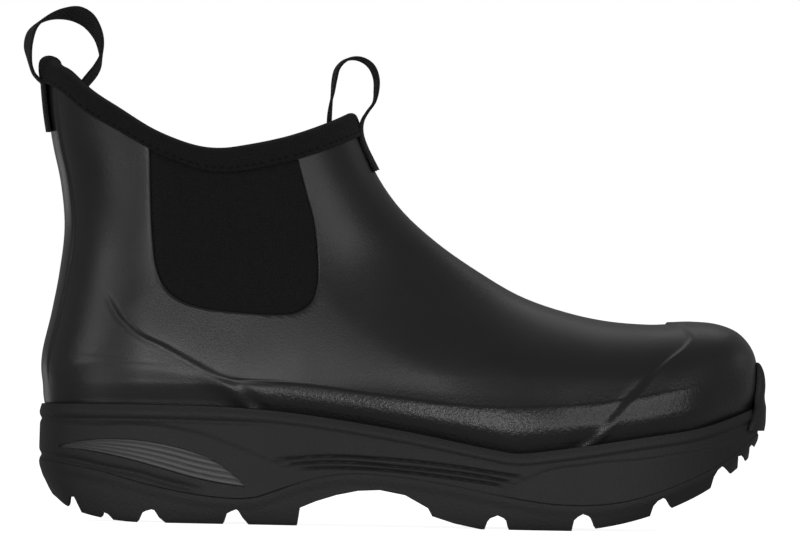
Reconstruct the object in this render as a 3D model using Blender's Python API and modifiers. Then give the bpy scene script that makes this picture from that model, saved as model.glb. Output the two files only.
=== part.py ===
"""Rubber ankle boot for the right foot, as an assembly of named pieces.

Tables are in millimetres, the scene is in metres. +X points to the toe, +Y to the wearer's left, which is the
inner side of a right boot, and +Z up. A station is a distance from the sole's rearmost point towards the toe.
"""

import math

import bmesh
import bpy
import numpy as np

MM = 0.001
GAP = 0.3
SHARP_ANGLE = 40.0
# Names of the two sides, with their direction along Y
SIDES = (("lateral", -1), ("medial", 1))

# Driving sizes
REAR_X = -146.0
BALL_WIDTH = 105.0
WALL = 2.6

# Side view of the upper, as station and height: up the toe and along the instep to the collar's front
FRONT_PROFILE = (
    (297.5, 52.0),
    (298.6, 62.0),
    (296.8, 74.8),
    (290.6, 82.8),
    (282.0, 86.5),
    (270.0, 87.6),
    (252.0, 86.6),
    (234.0, 87.4),
    (216.0, 91.0),
    (198.5, 97.0),
    (182.0, 106.2),
    (165.0, 117.5),
    (150.2, 130.2),
    (141.5, 141.0),
    (135.0, 152.4),
    (127.8, 169.8),
)
# Up the back, from the sole to the collar's peak
BACK_PROFILE = (
    (1.4, 48.2),
    (0.0, 58.0),
    (0.1, 69.0),
    (3.6, 85.7),
    (6.6, 102.4),
    (8.5, 122.0),
    (6.7, 140.0),
    (3.0, 156.5),
    (0.7, 170.6),
    (-0.6, 190.0),
)
# Lower edge of the upper, where the sole closes it, heel to toe
FEATHER_LINE = (
    (1.4, 48.2),
    (50.0, 48.6),
    (83.0, 48.0),
    (108.0, 46.0),
    (150.0, 40.0),
    (187.5, 33.0),
    (198.0, 31.4),
    (216.7, 33.4),
    (250.0, 38.7),
    (275.0, 43.3),
    (291.0, 49.0),
    (297.5, 52.0),
)
# Upper edge of the upper, inside its binding, back to front
COLLAR_LINE = (
    (-0.6, 190.0),
    (5.0, 187.6),
    (16.8, 177.9),
    (29.7, 170.2),
    (46.5, 160.8),
    (63.8, 154.7),
    (74.0, 153.8),
    (85.5, 155.5),
    (102.3, 159.5),
    (118.0, 165.2),
    (127.8, 169.8),
)
# Half widths of the foot as shares of the ball width, before the toe and the heel are rounded
FOOT_WIDTHS = (
    # station, outer side, inner side, centre line towards the inner side
    (0.0, 0.350, 0.350, 0.020),
    (40.0, 0.360, 0.360, 0.020),
    (85.0, 0.380, 0.345, 0.012),
    (125.0, 0.408, 0.340, -0.004),
    (165.0, 0.470, 0.410, 0.000),
    (195.0, 0.508, 0.478, 0.005),
    (220.0, 0.506, 0.506, 0.010),
    (260.0, 0.480, 0.460, 0.050),
    (302.0, 0.440, 0.390, 0.085),
)
OUTER, INNER, CENTRE = 1, 2, 3
# Half width of the ankle and shaft by height, as a share of the ball width
SHAFT_WIDTHS = (
    (20.0, 0.352),
    (85.0, 0.345),
    (110.0, 0.338),
    (130.0, 0.342),
    (155.0, 0.362),
    (195.0, 0.375),
)
# The foot's widths give way to the shaft's between these heights
SHAFT_BLEND = (62.0, 118.0)
# How deep the upper is rounded behind its side-view outline, by share of the way up each profile
FRONT_ROUNDING = (
    # share, depth, power
    (0.00, 62.0, 2.35),
    (0.12, 58.0, 2.35),
    (0.28, 44.0, 2.30),
    (0.45, 48.0, 2.20),
    (0.70, 54.0, 2.10),
    (1.00, 54.0, 2.05),
)
BACK_ROUNDING = (
    (0.00, 42.0, 2.20),
    (0.40, 44.0, 2.10),
    (1.00, 50.0, 2.05),
)
DEPTH, POWER = 1, 2
# The wall tucks in under itself just above the sole
TUCK = 2.4
TUCK_HEIGHT = 10.0

# Rows of the side view: how they crowd to the sole, how far they run straight in from each profile,
# and how fast the shapes of the lower and upper edge fade between them
ROW_CROWDING = 1.15
BACK_LEAD = 60.0
FRONT_LEAD = 75.0
FEATHER_FADE = 1.5
COLLAR_FADE = 1.6

HALF_COLUMNS = 26
UPPER_ROWS = 22
# Points of a smooth curve, of a curve that depths are measured from, and of that curve's straight extensions
CURVE_POINTS = 240
DEPTH_POINTS = 900
EXTENSION_POINTS = 225
FINE_STEPS = 8

# Side cut-outs of the upper, closed by the gussets: station and height, down the back and up the front
GUSSET_OUTLINE = (
    (43.9, 182.0),
    (44.5, 140.0),
    (45.9, 117.3),
    (47.6, 106.0),
    (51.4, 97.9),
    (57.8, 92.8),
    (68.0, 89.8),
    (82.3, 88.4),
    (96.0, 87.8),
    (105.6, 88.8),
    (111.6, 92.8),
    (114.2, 100.5),
    (114.2, 112.0),
    (112.4, 126.5),
    (109.6, 136.5),
    (104.4, 155.0),
    (96.8, 182.0),
)
GUSSET_POINTS = 36
GUSSET_THICKNESS = 1.8
GUSSET_SINK = 0.5
GUSSET_LOWEST_SHARE = 0.3
GUSSET_ROWS = 12
CUTTER_INNER_Y = 8.0
CUTTER_OUTER_Y = 75.0

# Folded collar binding
BINDING_THICKNESS = 1.7
BINDING_DROP = 8.0
BINDING_CROWN = 0.5
BINDING_LOWEST_SHARE = 0.85
BINDING_SAMPLES = 31

# Side wall of the midsole, by share of its height from the top: distance out from the upper's lower edge
MIDSOLE_WALL = (
    # share down, out at heel and toe, out at the sides
    (0.00, 0.4, 1.6),
    (0.07, 1.2, 3.0),
    (0.30, 1.4, 3.3),
    (1.00, 1.6, 3.6),
)
# Side wall of the outsole in the same way
OUTSOLE_WALL = (
    (0.00, 1.6, 3.6),
    (0.40, 0.9, 3.4),
    (0.80, -1.6, 2.4),
    (1.00, -4.0, 0.6),
)
# Parting line between midsole and outsole, heel to toe
OUTSOLE_LINE = (
    (0.0, 25.6),
    (25.0, 21.6),
    (46.0, 16.2),
    (63.0, 12.9),
    (80.0, 11.2),
    (90.0, 11.8),
    (99.0, 14.8),
    (109.0, 18.4),
    (120.0, 21.2),
    (132.0, 22.4),
    (150.0, 21.4),
    (171.0, 18.4),
    (198.0, 13.5),
    (217.0, 11.2),
    (240.0, 12.3),
    (262.0, 18.8),
    (287.0, 31.5),
    (296.0, 39.5),
    (302.0, 44.0),
)
# Lowest line of the tread: the heel's bevel, the flat between, and the toe spring
TREAD_HEEL = (
    (2.0, 13.0),
    (7.1, 9.6),
    (11.0, 6.6),
    (17.2, 3.9),
    (27.2, 1.5),
    (36.0, 0.4),
    (44.0, 0.0),
)
TREAD_TOE = (
    (222.0, 0.0),
    (240.0, 2.7),
    (254.3, 6.7),
    (266.3, 11.5),
    (274.5, 15.8),
    (282.0, 21.0),
    (291.0, 28.6),
    (295.5, 32.9),
    (300.0, 41.0),
)
# Tunnel under the arch, from the heel's front face to the forefoot
ARCH_OUTLINE = (
    (107.2, -4.0),
    (108.8, 7.3),
    (115.5, 10.2),
    (124.1, 13.0),
    (133.0, 14.9),
    (142.0, 15.4),
    (152.5, 13.5),
    (162.1, 8.3),
    (163.9, 5.0),
    (173.0, 2.2),
    (184.0, 0.0),
    (184.5, -4.0),
)
# Grooves straight across, between the main lugs
TREAD_GROOVES = (
    # station, width at the mouth, depth
    (47.0, 11.2, 5.4),
    (82.6, 10.2, 5.4),
    (191.2, 9.9, 5.6),
    (227.0, 9.6, 5.7),
    (259.4, 9.0, 5.8),
    (283.0, 8.0, 5.6),
)
GROOVE_SECTION = (
    # share of the depth, share of the half width
    (-1.5, 1.00),
    (0.00, 1.00),
    (0.50, 0.76),
    (0.86, 0.48),
    (1.00, 0.16),
)
GROOVE_REACH_Y = 70.0

# Ribbed inserts beside the heel, in pockets of the midsole
INSERT_LENS = (
    # station, lower edge, upper edge
    (8.3, 30.6, 31.4),
    (16.6, 29.8, 33.4),
    (25.0, 28.6, 34.4),
    (37.5, 26.0, 34.6),
    (50.0, 22.8, 33.2),
    (62.5, 19.4, 30.4),
    (73.0, 17.2, 26.4),
    (81.5, 16.0, 20.6),
    (86.2, 15.4, 16.2),
)
INSERT_SECTIONS = 20
INSERT_DEPTH = 2.4
INSERT_RECESS = 0.2
INSERT_TIP_MARGIN = 0.3
POCKET_REACH = 5.0

INSOLE_THICKNESS = 4.0
INSOLE_INSET = 4.4

# Rubber strip up the toe, its lower levels in front of the midsole and the rest on the upper
BUMPER = (
    # height, half width, thickness
    (42.6, 21.5, 2.4),
    (46.0, 20.0, 2.9),
    (50.0, 17.0, 3.0),
    (54.0, 14.2, 3.0),
    (58.0, 12.4, 3.0),
    (63.0, 10.8, 3.0),
    (67.5, 9.0, 2.4),
    (71.0, 6.6, 1.0),
)
BUMPER_ON_UPPER = 56.0
BUMPER_COLUMNS = 12
TOE_STATION = 240.0

# Webbing loops: the path of the tape, how far its near edge is shifted, and how far its edges bow forwards
LOOP_WIDTH = 20.0
LOOP_THICKNESS = 1.5
LOOP_ACROSS = 5
LOOP_SECTIONS = 38
BACK_LOOP = (
    # station, height, shift forwards, shift up, bow
    (0.2, 161.5, 0.0, 0.0, 1.6),
    (-0.8, 169.0, 0.0, 0.0, 1.5),
    (-1.8, 175.5, 0.0, 0.0, 1.3),
    (-3.9, 181.5, 0.0, 0.0, 1.0),
    (-6.3, 187.0, 0.2, 0.1, 0.5),
    (-7.4, 191.6, 0.6, 0.4, 0.2),
    (-7.9, 198.0, 1.7, 1.0, 0.0),
    (-6.2, 204.2, 2.1, 1.3, 0.0),
    (-1.2, 208.6, 2.3, 1.6, 0.0),
    (4.5, 210.8, 2.3, 2.0, 0.0),
    (11.2, 211.0, 2.0, 2.6, 0.0),
    (16.8, 208.3, 1.7, 2.6, 0.0),
    (20.7, 203.1, 1.1, 2.6, 0.0),
    (22.4, 197.6, 0.8, 2.5, 0.0),
    (22.4, 192.6, 0.2, 2.0, 0.0),
    (20.8, 188.8, -0.8, 1.0, 0.1),
    (18.5, 185.6, -1.4, 0.7, 0.3),
    (15.6, 182.2, -1.4, 0.6, 0.6),
    (11.2, 176.0, -0.5, 0.2, 1.4),
    (8.2, 168.0, 0.0, 0.0, 2.0),
    (7.0, 160.0, 0.0, 0.0, 2.2),
)
FRONT_LOOP = (
    (138.9, 148.0, 0.0, 0.0, -1.6),
    (136.5, 153.2, 0.0, 0.0, -1.6),
    (134.7, 158.0, 0.0, 0.0, -1.5),
    (134.2, 162.4, 0.0, 0.0, -1.2),
    (133.6, 166.0, 0.0, 0.0, -0.9),
    (133.6, 169.2, 0.0, 0.0, -0.6),
    (134.9, 172.4, 0.1, 0.0, -0.3),
    (136.5, 176.3, 0.3, 0.1, 0.0),
    (137.4, 181.6, 0.8, 0.2, 0.0),
    (137.2, 186.5, 0.9, 0.3, 0.0),
    (135.4, 190.9, 1.0, 0.3, 0.0),
    (132.4, 193.5, 1.0, 0.3, 0.0),
    (128.4, 194.6, 1.0, 0.3, 0.0),
    (124.2, 193.6, 1.0, 0.3, 0.0),
    (121.0, 190.2, 0.9, 0.3, 0.0),
    (119.8, 185.3, 0.8, 0.2, 0.0),
    (119.2, 180.0, 0.4, 0.1, 0.0),
    (118.5, 175.2, -0.2, 0.0, 0.0),
    (118.3, 170.2, -0.5, 0.0, -0.3),
    (118.8, 165.4, -0.3, 0.0, -0.9),
    (121.0, 160.0, 0.0, 0.0, -1.4),
    (125.4, 154.0, 0.0, 0.0, -2.0),
    (130.6, 148.4, 0.0, 0.0, -2.2),
)

# Finishes: name, base colour, roughness
RUBBER = ("boot_rubber", (0.022, 0.022, 0.023), 0.50)
SOLE_RUBBER = ("sole_rubber", (0.018, 0.018, 0.019), 0.62)
INSERT_FOAM = ("insert_foam", (0.075, 0.075, 0.078), 0.55)
STRETCH_FABRIC = ("stretch_fabric", (0.010, 0.010, 0.011), 0.95)
BINDING_FABRIC = ("binding_fabric", (0.008, 0.008, 0.009), 0.90)
WEBBING = ("webbing", (0.012, 0.012, 0.013), 0.85)
FOOTBED_FABRIC = ("footbed_fabric", (0.030, 0.030, 0.032), 0.95)


def smooth_curve(knots, count):
    """Points evenly spaced along a smooth curve through the knots, measured in their first two columns."""
    knots = np.asarray(knots, float)
    chords = np.linalg.norm(np.diff(knots[:, :2], axis=0), axis=1)
    at = np.concatenate([[0.0], np.cumsum(np.sqrt(chords))])
    slopes = np.gradient(knots, at, axis=0, edge_order=2)
    fine = np.linspace(0.0, at[-1], FINE_STEPS * count)
    k = np.clip(np.searchsorted(at, fine, "right") - 1, 0, len(knots) - 2)
    span = (at[k + 1] - at[k])[:, None]
    t = (fine - at[k])[:, None] / span
    points = (
        (2 * t**3 - 3 * t**2 + 1) * knots[k]
        + (t**3 - 2 * t**2 + t) * span * slopes[k]
        + (3 * t**2 - 2 * t**3) * knots[k + 1]
        + (t**3 - t**2) * span * slopes[k + 1]
    )
    lengths = np.linalg.norm(np.diff(points[:, :2], axis=0), axis=1)
    along = np.concatenate([[0.0], np.cumsum(lengths)])
    even = np.linspace(0.0, along[-1], count)
    return np.stack([np.interp(even, along, column) for column in points.T], axis=1)


def side_curve(table, count=CURVE_POINTS):
    """A table of station and height as a smooth curve in x and z."""
    return smooth_curve(table, count) + (REAR_X, 0.0)


def height_of(curve, x):
    return np.interp(x, curve[:, 0], curve[:, 1])


def column_of(table, at, column):
    """One column of a table, read smoothly at values of its first column."""
    rows = np.asarray(table, float)
    curve = smooth_curve(rows[:, (0, column)], CURVE_POINTS)
    return np.interp(at, curve[:, 0], curve[:, 1])


def smooth_step(low, high, value):
    t = np.clip((value - low) / (high - low), 0.0, 1.0)
    return t * t * (3 - 2 * t)


FRONT = side_curve(FRONT_PROFILE, DEPTH_POINTS)
BACK = side_curve(BACK_PROFILE, DEPTH_POINTS)
FEATHER = side_curve(FEATHER_LINE)
COLLAR = side_curve(COLLAR_LINE)
PARTING = side_curve(OUTSOLE_LINE)
TREAD = np.concatenate([side_curve(TREAD_HEEL), side_curve(TREAD_TOE)])


def forward_normals(curve):
    """Unit normals of a rising side-view curve, on the side of the toe."""
    tangent = np.gradient(curve, axis=0)
    normal = np.stack([tangent[:, 1], -tangent[:, 0]], axis=1)
    return normal / np.linalg.norm(normal, axis=1, keepdims=True)


def read_curve(curve, share):
    at = np.linspace(0.0, 1.0, len(curve))
    return np.stack([np.interp(share, at, column) for column in curve.T], axis=-1)


def crossing_rows(along, up):
    """Rows of side-view points that leave the back profile and meet the front one squarely."""
    u = np.asarray(along)[None, :, None]
    ends = [read_curve(curve, up)[:, None] for curve in (BACK, FRONT)]
    leads = [read_curve(forward_normals(curve), up)[:, None] for curve in (BACK, FRONT)]
    return (
        (2 * u**3 - 3 * u**2 + 1) * ends[0]
        + (u**3 - 2 * u**2 + u) * BACK_LEAD * leads[0]
        + (3 * u**2 - 2 * u**3) * ends[1]
        + (u**3 - u**2) * FRONT_LEAD * leads[1]
    )


def side_view(along, up):
    """Side-view points of the upper: rows from the sole to the collar, columns from the back to the front."""
    rows = crossing_rows(along, up)
    lowest, highest = crossing_rows(along, np.array([0.0, 1.0]))
    to_feather = height_of(FEATHER, lowest[:, 0]) - lowest[:, 1]
    to_collar = height_of(COLLAR, highest[:, 0]) - highest[:, 1]
    up = np.asarray(up)[:, None]
    rows[..., 1] += to_feather * (1 - up) ** FEATHER_FADE + to_collar * up**COLLAR_FADE
    return rows


def rounding(curve, table, x, z):
    """Share of the full width left behind a side-view outline, from 0 on it to 1 deep inside."""
    before, after = curve[0] - curve[1], curve[-1] - curve[-2]
    reach = np.arange(1, EXTENSION_POINTS)[:, None]
    line = np.concatenate([(curve[0] + reach * before)[::-1], curve, curve[-1] + reach * after])
    share = np.clip((np.arange(len(line)) - len(reach)) / (len(curve) - 1), 0.0, 1.0)
    step = np.linalg.norm(before)
    away = (x[..., None] - line[:, 0]) ** 2 + (z[..., None] - line[:, 1]) ** 2
    weight = np.maximum(away, step**2 / 100) ** -2.0
    total = weight.sum(-1)
    inside = (math.pi / 2 / (total * step)) ** (1 / 3)
    depth = weight @ column_of(table, share, DEPTH) / total
    power = weight @ column_of(table, share, POWER) / total
    return (1 - (1 - np.minimum(inside / depth, 1.0)) ** power) ** (1 / power)


def centre_line(x):
    return column_of(FOOT_WIDTHS, x - REAR_X, CENTRE) * BALL_WIDTH


def half_width(x, z, side):
    """Distance of the upper's face from its centre line, on its outer or inner side."""
    foot = column_of(FOOT_WIDTHS, x - REAR_X, side)
    shaft = column_of(SHAFT_WIDTHS, z, 1)
    full = (foot + (shaft - foot) * smooth_step(*SHAFT_BLEND, z)) * BALL_WIDTH
    tuck = TUCK * (1 - smooth_step(0.0, TUCK_HEIGHT, z - height_of(FEATHER, x)))
    return (full - tuck) * rounding(FRONT, FRONT_ROUNDING, x, z) * rounding(BACK, BACK_ROUNDING, x, z)


def upper_rings(up):
    """Rings of the upper's outer face, counterclockwise from above, from the back round the outer side."""
    turn = np.linspace(0.0, math.pi, HALF_COLUMNS + 1)
    flat = side_view((1 - np.cos(turn)) / 2, up)
    x, z = flat[..., 0], flat[..., 1]
    widths = [half_width(x, z, side) for side in (OUTER, INNER)]
    for width in widths:
        width[:, (0, -1)] = 0.0
    centre = centre_line(x)
    outer = np.stack([x, centre - widths[0], z], axis=-1)
    inner = np.stack([x, centre + widths[1], z], axis=-1)
    return np.concatenate([outer, inner[:, -2:0:-1]], axis=1)


def ring_normals(rings):
    """Outward unit normals of rings of points."""
    around = np.roll(rings, -1, axis=1) - np.roll(rings, 1, axis=1)
    upward = np.gradient(rings, axis=0)
    normal = np.cross(around, upward)
    return normal / np.linalg.norm(normal, axis=-1, keepdims=True)


def plan_normals(ring):
    """Outward unit normals of one closed ring, seen from above."""
    around = np.roll(ring, -1, axis=0) - np.roll(ring, 1, axis=0)
    normal = np.stack([around[:, 1], -around[:, 0]], axis=1)
    return normal / np.linalg.norm(normal, axis=1, keepdims=True)


FEATHER_RING = upper_rings(np.array([0.0]))[0]
FEATHER_NORMALS = plan_normals(FEATHER_RING)


def sole_outline(at_ends, at_sides):
    """The upper's lower edge moved outwards, by one distance at heel and toe and another at the sides."""
    sideways = FEATHER_NORMALS[:, 1:] ** 2
    return FEATHER_RING[:, :2] + FEATHER_NORMALS * (at_ends + (at_sides - at_ends) * sideways)


def sole_ring(row, top, bottom):
    """One ring of a sole wall from a row of its table, between curves for its top and bottom."""
    share, at_ends, at_sides = row
    plan = sole_outline(at_ends, at_sides)
    high = height_of(top, plan[:, 0])
    low = height_of(bottom, plan[:, 0])
    return np.column_stack([plan, high + (low - high) * share])


def skin(rings, around=True, onwards=False, ladder=False, ends=False):
    """A mesh through rows of points. Around and onwards close it, ladder and ends cap its outer rows."""
    mesh = bmesh.new()
    grid = [[mesh.verts.new(point * MM) for point in ring] for ring in rings]
    count = len(grid[0])
    for r in range(len(grid) if onwards else len(grid) - 1):
        row, after = grid[r], grid[(r + 1) % len(grid)]
        for c in range(count if around else count - 1):
            beside = (c + 1) % count
            mesh.faces.new((row[c], row[beside], after[beside], after[c]))
    if ladder:
        for row in (grid[0], grid[-1]):
            for c in range(count // 2):
                rung = [row[c], row[c + 1], row[count - c - 1], row[-c]]
                mesh.faces.new(list(dict.fromkeys(rung)))
    if ends:
        for row in (grid[0], grid[-1]):
            mesh.faces.new(row)
    if onwards or ladder or ends:
        bmesh.ops.recalc_face_normals(mesh, faces=mesh.faces)
    return mesh


def finish_material(finish):
    name, colour, roughness = finish
    material = bpy.data.materials.get(name)
    if material is None:
        material = bpy.data.materials.new(name)
        material.use_nodes = True
        shader = material.node_tree.nodes["Principled BSDF"]
        shader.inputs["Base Color"].default_value = (*colour, 1.0)
        shader.inputs["Roughness"].default_value = roughness
    return material


def add_object(name, mesh, collection):
    data = bpy.data.meshes.new(name)
    mesh.to_mesh(data)
    mesh.free()
    added = bpy.data.objects.new(name, data)
    collection.objects.link(added)
    return added


def add_part(name, mesh, finish):
    """A named piece of the boot, carried by its empty."""
    part = add_object(name, mesh, parts)
    part.data.materials.append(finish_material(finish))
    part.data.shade_smooth()
    part.data.set_sharp_from_angle(angle=math.radians(SHARP_ANGLE))
    part.parent = boot
    return part


def add_cutter(name, mesh):
    cutter = add_object(name, mesh, cutters)
    cutter.hide_render = True
    cutter.display_type = "WIRE"
    return cutter


def add_wall(part, thickness, offset):
    wall = part.modifiers.new("wall", "SOLIDIFY")
    wall.thickness = thickness * MM
    wall.offset = offset
    wall.use_even_offset = True
    wall.use_quality_normals = True


def add_boolean(part, cutter, operation):
    boolean = part.modifiers.new(cutter.name, "BOOLEAN")
    boolean.object = cutter
    boolean.operation = operation


def prism_across(outline, near_y, far_y):
    """A side-view outline carried across the boot."""
    rings = []
    for y in (near_y, far_y):
        rings.append(np.column_stack([outline[:, 0], np.full(len(outline), y), outline[:, 1]]))
    return skin(rings, ends=True)


def inset_outline(outline, distance):
    """An open side-view outline moved to its left, towards the middle of a cut-out run downwards first."""
    tangent = np.gradient(outline, axis=0)
    left = np.stack([-tangent[:, 1], tangent[:, 0]], axis=1)
    return outline + left / np.linalg.norm(left, axis=1, keepdims=True) * distance


def gusset_cutter(name, sign, inset):
    outline = inset_outline(side_curve(GUSSET_OUTLINE, GUSSET_POINTS), inset)
    return add_cutter(name, prism_across(outline, sign * CUTTER_INNER_Y, sign * CUTTER_OUTER_Y))


def make_upper():
    """The rubber shell, an open surface given its wall and cut open at both sides."""
    up = np.linspace(0.0, 1.0, UPPER_ROWS + 1) ** ROW_CROWDING
    upper = add_part("upper", skin(upper_rings(up)), RUBBER)
    add_wall(upper, WALL, -1.0)
    for name, sign in SIDES:
        add_boolean(upper, gusset_cutter("cut_out_" + name, sign, 0.0), "DIFFERENCE")


def make_gussets():
    """Elastic panels, parts of a thinner shell just inside the upper's face."""
    rings = upper_rings(np.linspace(GUSSET_LOWEST_SHARE, 1.0, GUSSET_ROWS + 1))
    rings -= ring_normals(rings) * GUSSET_SINK
    sides = (rings[:, : HALF_COLUMNS + 1], rings[:, HALF_COLUMNS:])
    for (name, sign), patch in zip(SIDES, sides):
        gusset = add_part("gusset_" + name, skin(patch, around=False), STRETCH_FABRIC)
        add_wall(gusset, GUSSET_THICKNESS, -1.0)
        add_boolean(gusset, gusset_cutter("panel_" + name, sign, GAP), "INTERSECT")


def make_collar_binding():
    """A tape folded over the edges of upper and gussets, one section for each column of the upper."""
    band = upper_rings(np.linspace(BINDING_LOWEST_SHARE, 1.0, BINDING_SAMPLES))[::-1]
    normals = ring_normals(band[::-1])[::-1]
    steps = np.linalg.norm(np.diff(band, axis=0), axis=-1)
    below = np.concatenate([np.zeros((1, band.shape[1])), np.cumsum(steps, axis=0)])
    outside, inside = GAP, -WALL - GAP
    sections = []
    for c in range(band.shape[1]):
        edge, edge_out = band[0, c], normals[0, c]
        foot = np.array([np.interp(BINDING_DROP, below[:, c], band[:, c, i]) for i in range(3)])
        foot_out = np.array([np.interp(BINDING_DROP, below[:, c], normals[:, c, i]) for i in range(3)])
        upward = (edge - foot) / np.linalg.norm(edge - foot)
        top = GAP + BINDING_THICKNESS
        middle = (outside + inside) / 2
        sections.append([
            foot + foot_out * outside,
            edge + edge_out * outside + upward * GAP,
            edge + edge_out * inside + upward * GAP,
            foot + foot_out * inside,
            foot + foot_out * (inside - BINDING_THICKNESS),
            edge + edge_out * (inside - BINDING_THICKNESS),
            edge + edge_out * (inside - BINDING_CROWN) + upward * top,
            edge + edge_out * middle + upward * (top + BINDING_CROWN),
            edge + edge_out * (outside + BINDING_CROWN) + upward * top,
            edge + edge_out * (outside + BINDING_THICKNESS),
            foot + foot_out * (outside + BINDING_THICKNESS),
        ])
    add_part("collar_binding", skin(sections, onwards=True), BINDING_FABRIC)


def wall_y(x, row, offset, outer_side):
    """Where the midsole's wall, moved in or out, lies at x on one side."""
    plan = sole_outline(row[1] + offset, row[2] + offset)
    half = plan[: HALF_COLUMNS + 1] if outer_side else plan[HALF_COLUMNS:][::-1]
    return np.interp(x, half[:, 0], half[:, 1])


def lens_sections(sign, depth, proud, margin):
    """Upright sections of an insert or its pocket, along the heel."""
    lens = smooth_curve(INSERT_LENS, INSERT_SECTIONS)
    lens[0, 0] += margin
    lens[-1, 0] -= margin
    sections = []
    for station, low, high in lens:
        x = station + REAR_X
        deep = wall_y(x, MIDSOLE_WALL[-1], -depth, sign < 0)
        face = wall_y(x, MIDSOLE_WALL[-1], proud, sign < 0)
        trim = min(margin, INSERT_TIP_MARGIN * (high - low))
        sections.append(np.array([
            (x, face, low + trim),
            (x, face, high - trim),
            (x, deep, high - trim),
            (x, deep, low + trim),
        ]))
    return sections


def make_midsole_and_inserts():
    top = FEATHER - (0.0, GAP)
    bottom = PARTING + (0.0, GAP)
    rings = [sole_ring(row, top, bottom) for row in reversed(MIDSOLE_WALL)]
    midsole = add_part("midsole", skin(rings, ladder=True), SOLE_RUBBER)
    for name, sign in SIDES:
        pocket = skin(lens_sections(sign, INSERT_DEPTH, POCKET_REACH, 0.0), ends=True)
        add_boolean(midsole, add_cutter("pocket_" + name, pocket), "DIFFERENCE")
        insert = lens_sections(sign, INSERT_DEPTH - GAP, -INSERT_RECESS, GAP)
        add_part("heel_insert_" + name, skin(insert, ends=True), INSERT_FOAM)


def groove_outline(station, mouth, depth):
    """Side view of a groove between two lugs, wide at the mouth and round at the root."""
    base = height_of(TREAD, station + REAR_X)
    rise, half = np.transpose(GROOVE_SECTION)
    x = np.concatenate([-half, half[::-1]]) * mouth / 2 + station + REAR_X
    z = np.concatenate([rise, rise[::-1]]) * depth + base
    return np.column_stack([x, z])


def make_outsole():
    rings = [sole_ring(row, PARTING, TREAD) for row in reversed(OUTSOLE_WALL)]
    outsole = add_part("outsole", skin(rings, ladder=True), SOLE_RUBBER)
    arch = np.array(ARCH_OUTLINE) + (REAR_X, 0.0)
    arch_cutter = add_cutter("arch_tunnel", prism_across(arch, -GROOVE_REACH_Y, GROOVE_REACH_Y))
    add_boolean(outsole, arch_cutter, "DIFFERENCE")
    for number, row in enumerate(TREAD_GROOVES):
        groove = prism_across(groove_outline(*row), -GROOVE_REACH_Y, GROOVE_REACH_Y)
        add_boolean(outsole, add_cutter("tread_groove_" + str(number), groove), "DIFFERENCE")


def make_insole():
    plan = sole_outline(-INSOLE_INSET, -INSOLE_INSET)
    rings = []
    for rise in (GAP / 2, INSOLE_THICKNESS):
        rings.append(np.column_stack([plan, height_of(FEATHER, plan[:, 0]) + rise]))
    add_part("insole", skin(rings, ladder=True), FOOTBED_FABRIC)


def toe_outline(level):
    """The upper's outline round the toe at one height, seen from above, from the outer to the inner side."""
    rising = FRONT[: np.argmax(FRONT[:, 1])]
    nose = np.interp(level, rising[:, 1], rising[:, 0])
    turn = np.linspace(0.0, math.pi / 2, CURVE_POINTS)
    x = TOE_STATION + REAR_X + (nose - TOE_STATION - REAR_X) * np.sin(turn)
    z = np.full_like(x, level)
    widths = [half_width(x, z, side) for side in (OUTER, INNER)]
    for width in widths:
        width[-1] = 0.0
    outer = np.column_stack([x, centre_line(x) - widths[0]])
    inner = np.column_stack([x, centre_line(x) + widths[1]])
    return np.concatenate([outer, inner[-2::-1]])


def line_normals(line):
    """Unit normals on the right of a line of points, seen from above."""
    along = np.gradient(line, axis=0)
    right = np.stack([along[:, 1], -along[:, 0]], axis=1)
    return right / np.linalg.norm(right, axis=1, keepdims=True)


def make_toe_bumper():
    """A strip wrapped round the front of midsole and toe, narrower and thinner at the top."""
    toe_y = FEATHER_RING[HALF_COLUMNS, 1]
    toe_half = slice(HALF_COLUMNS // 2, -HALF_COLUMNS // 2)
    rings = []
    for level, half, thickness in BUMPER:
        if level < BUMPER_ON_UPPER:
            seat = max(row[1] for row in MIDSOLE_WALL), max(row[2] for row in MIDSOLE_WALL)
            line = sole_outline(*seat)[toe_half]
        else:
            line = toe_outline(level)
        y = toe_y + np.linspace(-half, half, BUMPER_COLUMNS + 1)
        line = np.column_stack([np.interp(y, line[:, 1], line[:, 0]), y])
        out = line_normals(line)
        plan = np.concatenate([line + out * GAP, (line + out * (GAP + thickness))[::-1]])
        rings.append(np.column_stack([plan, np.full(len(plan), level)]))
    add_part("toe_bumper", skin(rings, ends=True), SOLE_RUBBER)


def loop_sections(table):
    """Sections of a webbing tape along its path, each from its near edge to its far one and back."""
    path = smooth_curve(table, LOOP_SECTIONS)
    tangent = np.gradient(path[:, :2], axis=0)
    across = np.linspace(-1.0, 1.0, LOOP_ACROSS)
    sections = []
    for (station, height, shift_x, shift_z, bow), (along_x, along_z) in zip(path, tangent):
        wide = np.array([-shift_x, 0.0, -shift_z]) * 2 / LOOP_WIDTH
        wide[1] = math.sqrt(1 - wide @ wide)
        middle = np.array([station + REAR_X, 0.0, height])
        face = np.cross((along_x, 0.0, along_z), wide)
        face *= LOOP_THICKNESS / 2 / np.linalg.norm(face)
        line = [middle + wide * s * LOOP_WIDTH / 2 + np.array([bow * s * s, 0.0, 0.0]) for s in across]
        sections.append([point + face for point in line] + [point - face for point in reversed(line)])
    return sections


def make_loops():
    for name, table in (("pull_loop_back", BACK_LOOP), ("pull_loop_front", FRONT_LOOP)):
        add_part(name, skin(loop_sections(table), ends=True), WEBBING)


for existing in list(bpy.data.objects):
    bpy.data.objects.remove(existing)
parts = bpy.data.collections.new("rubber_boot")
cutters = bpy.data.collections.new("rubber_boot_cutters")
for collection in (parts, cutters):
    bpy.context.scene.collection.children.link(collection)
boot = bpy.data.objects.new("boot", None)
parts.objects.link(boot)

make_upper()
make_gussets()
make_collar_binding()
make_midsole_and_inserts()
make_outsole()
make_insole()
make_toe_bumper()
make_loops()
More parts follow.
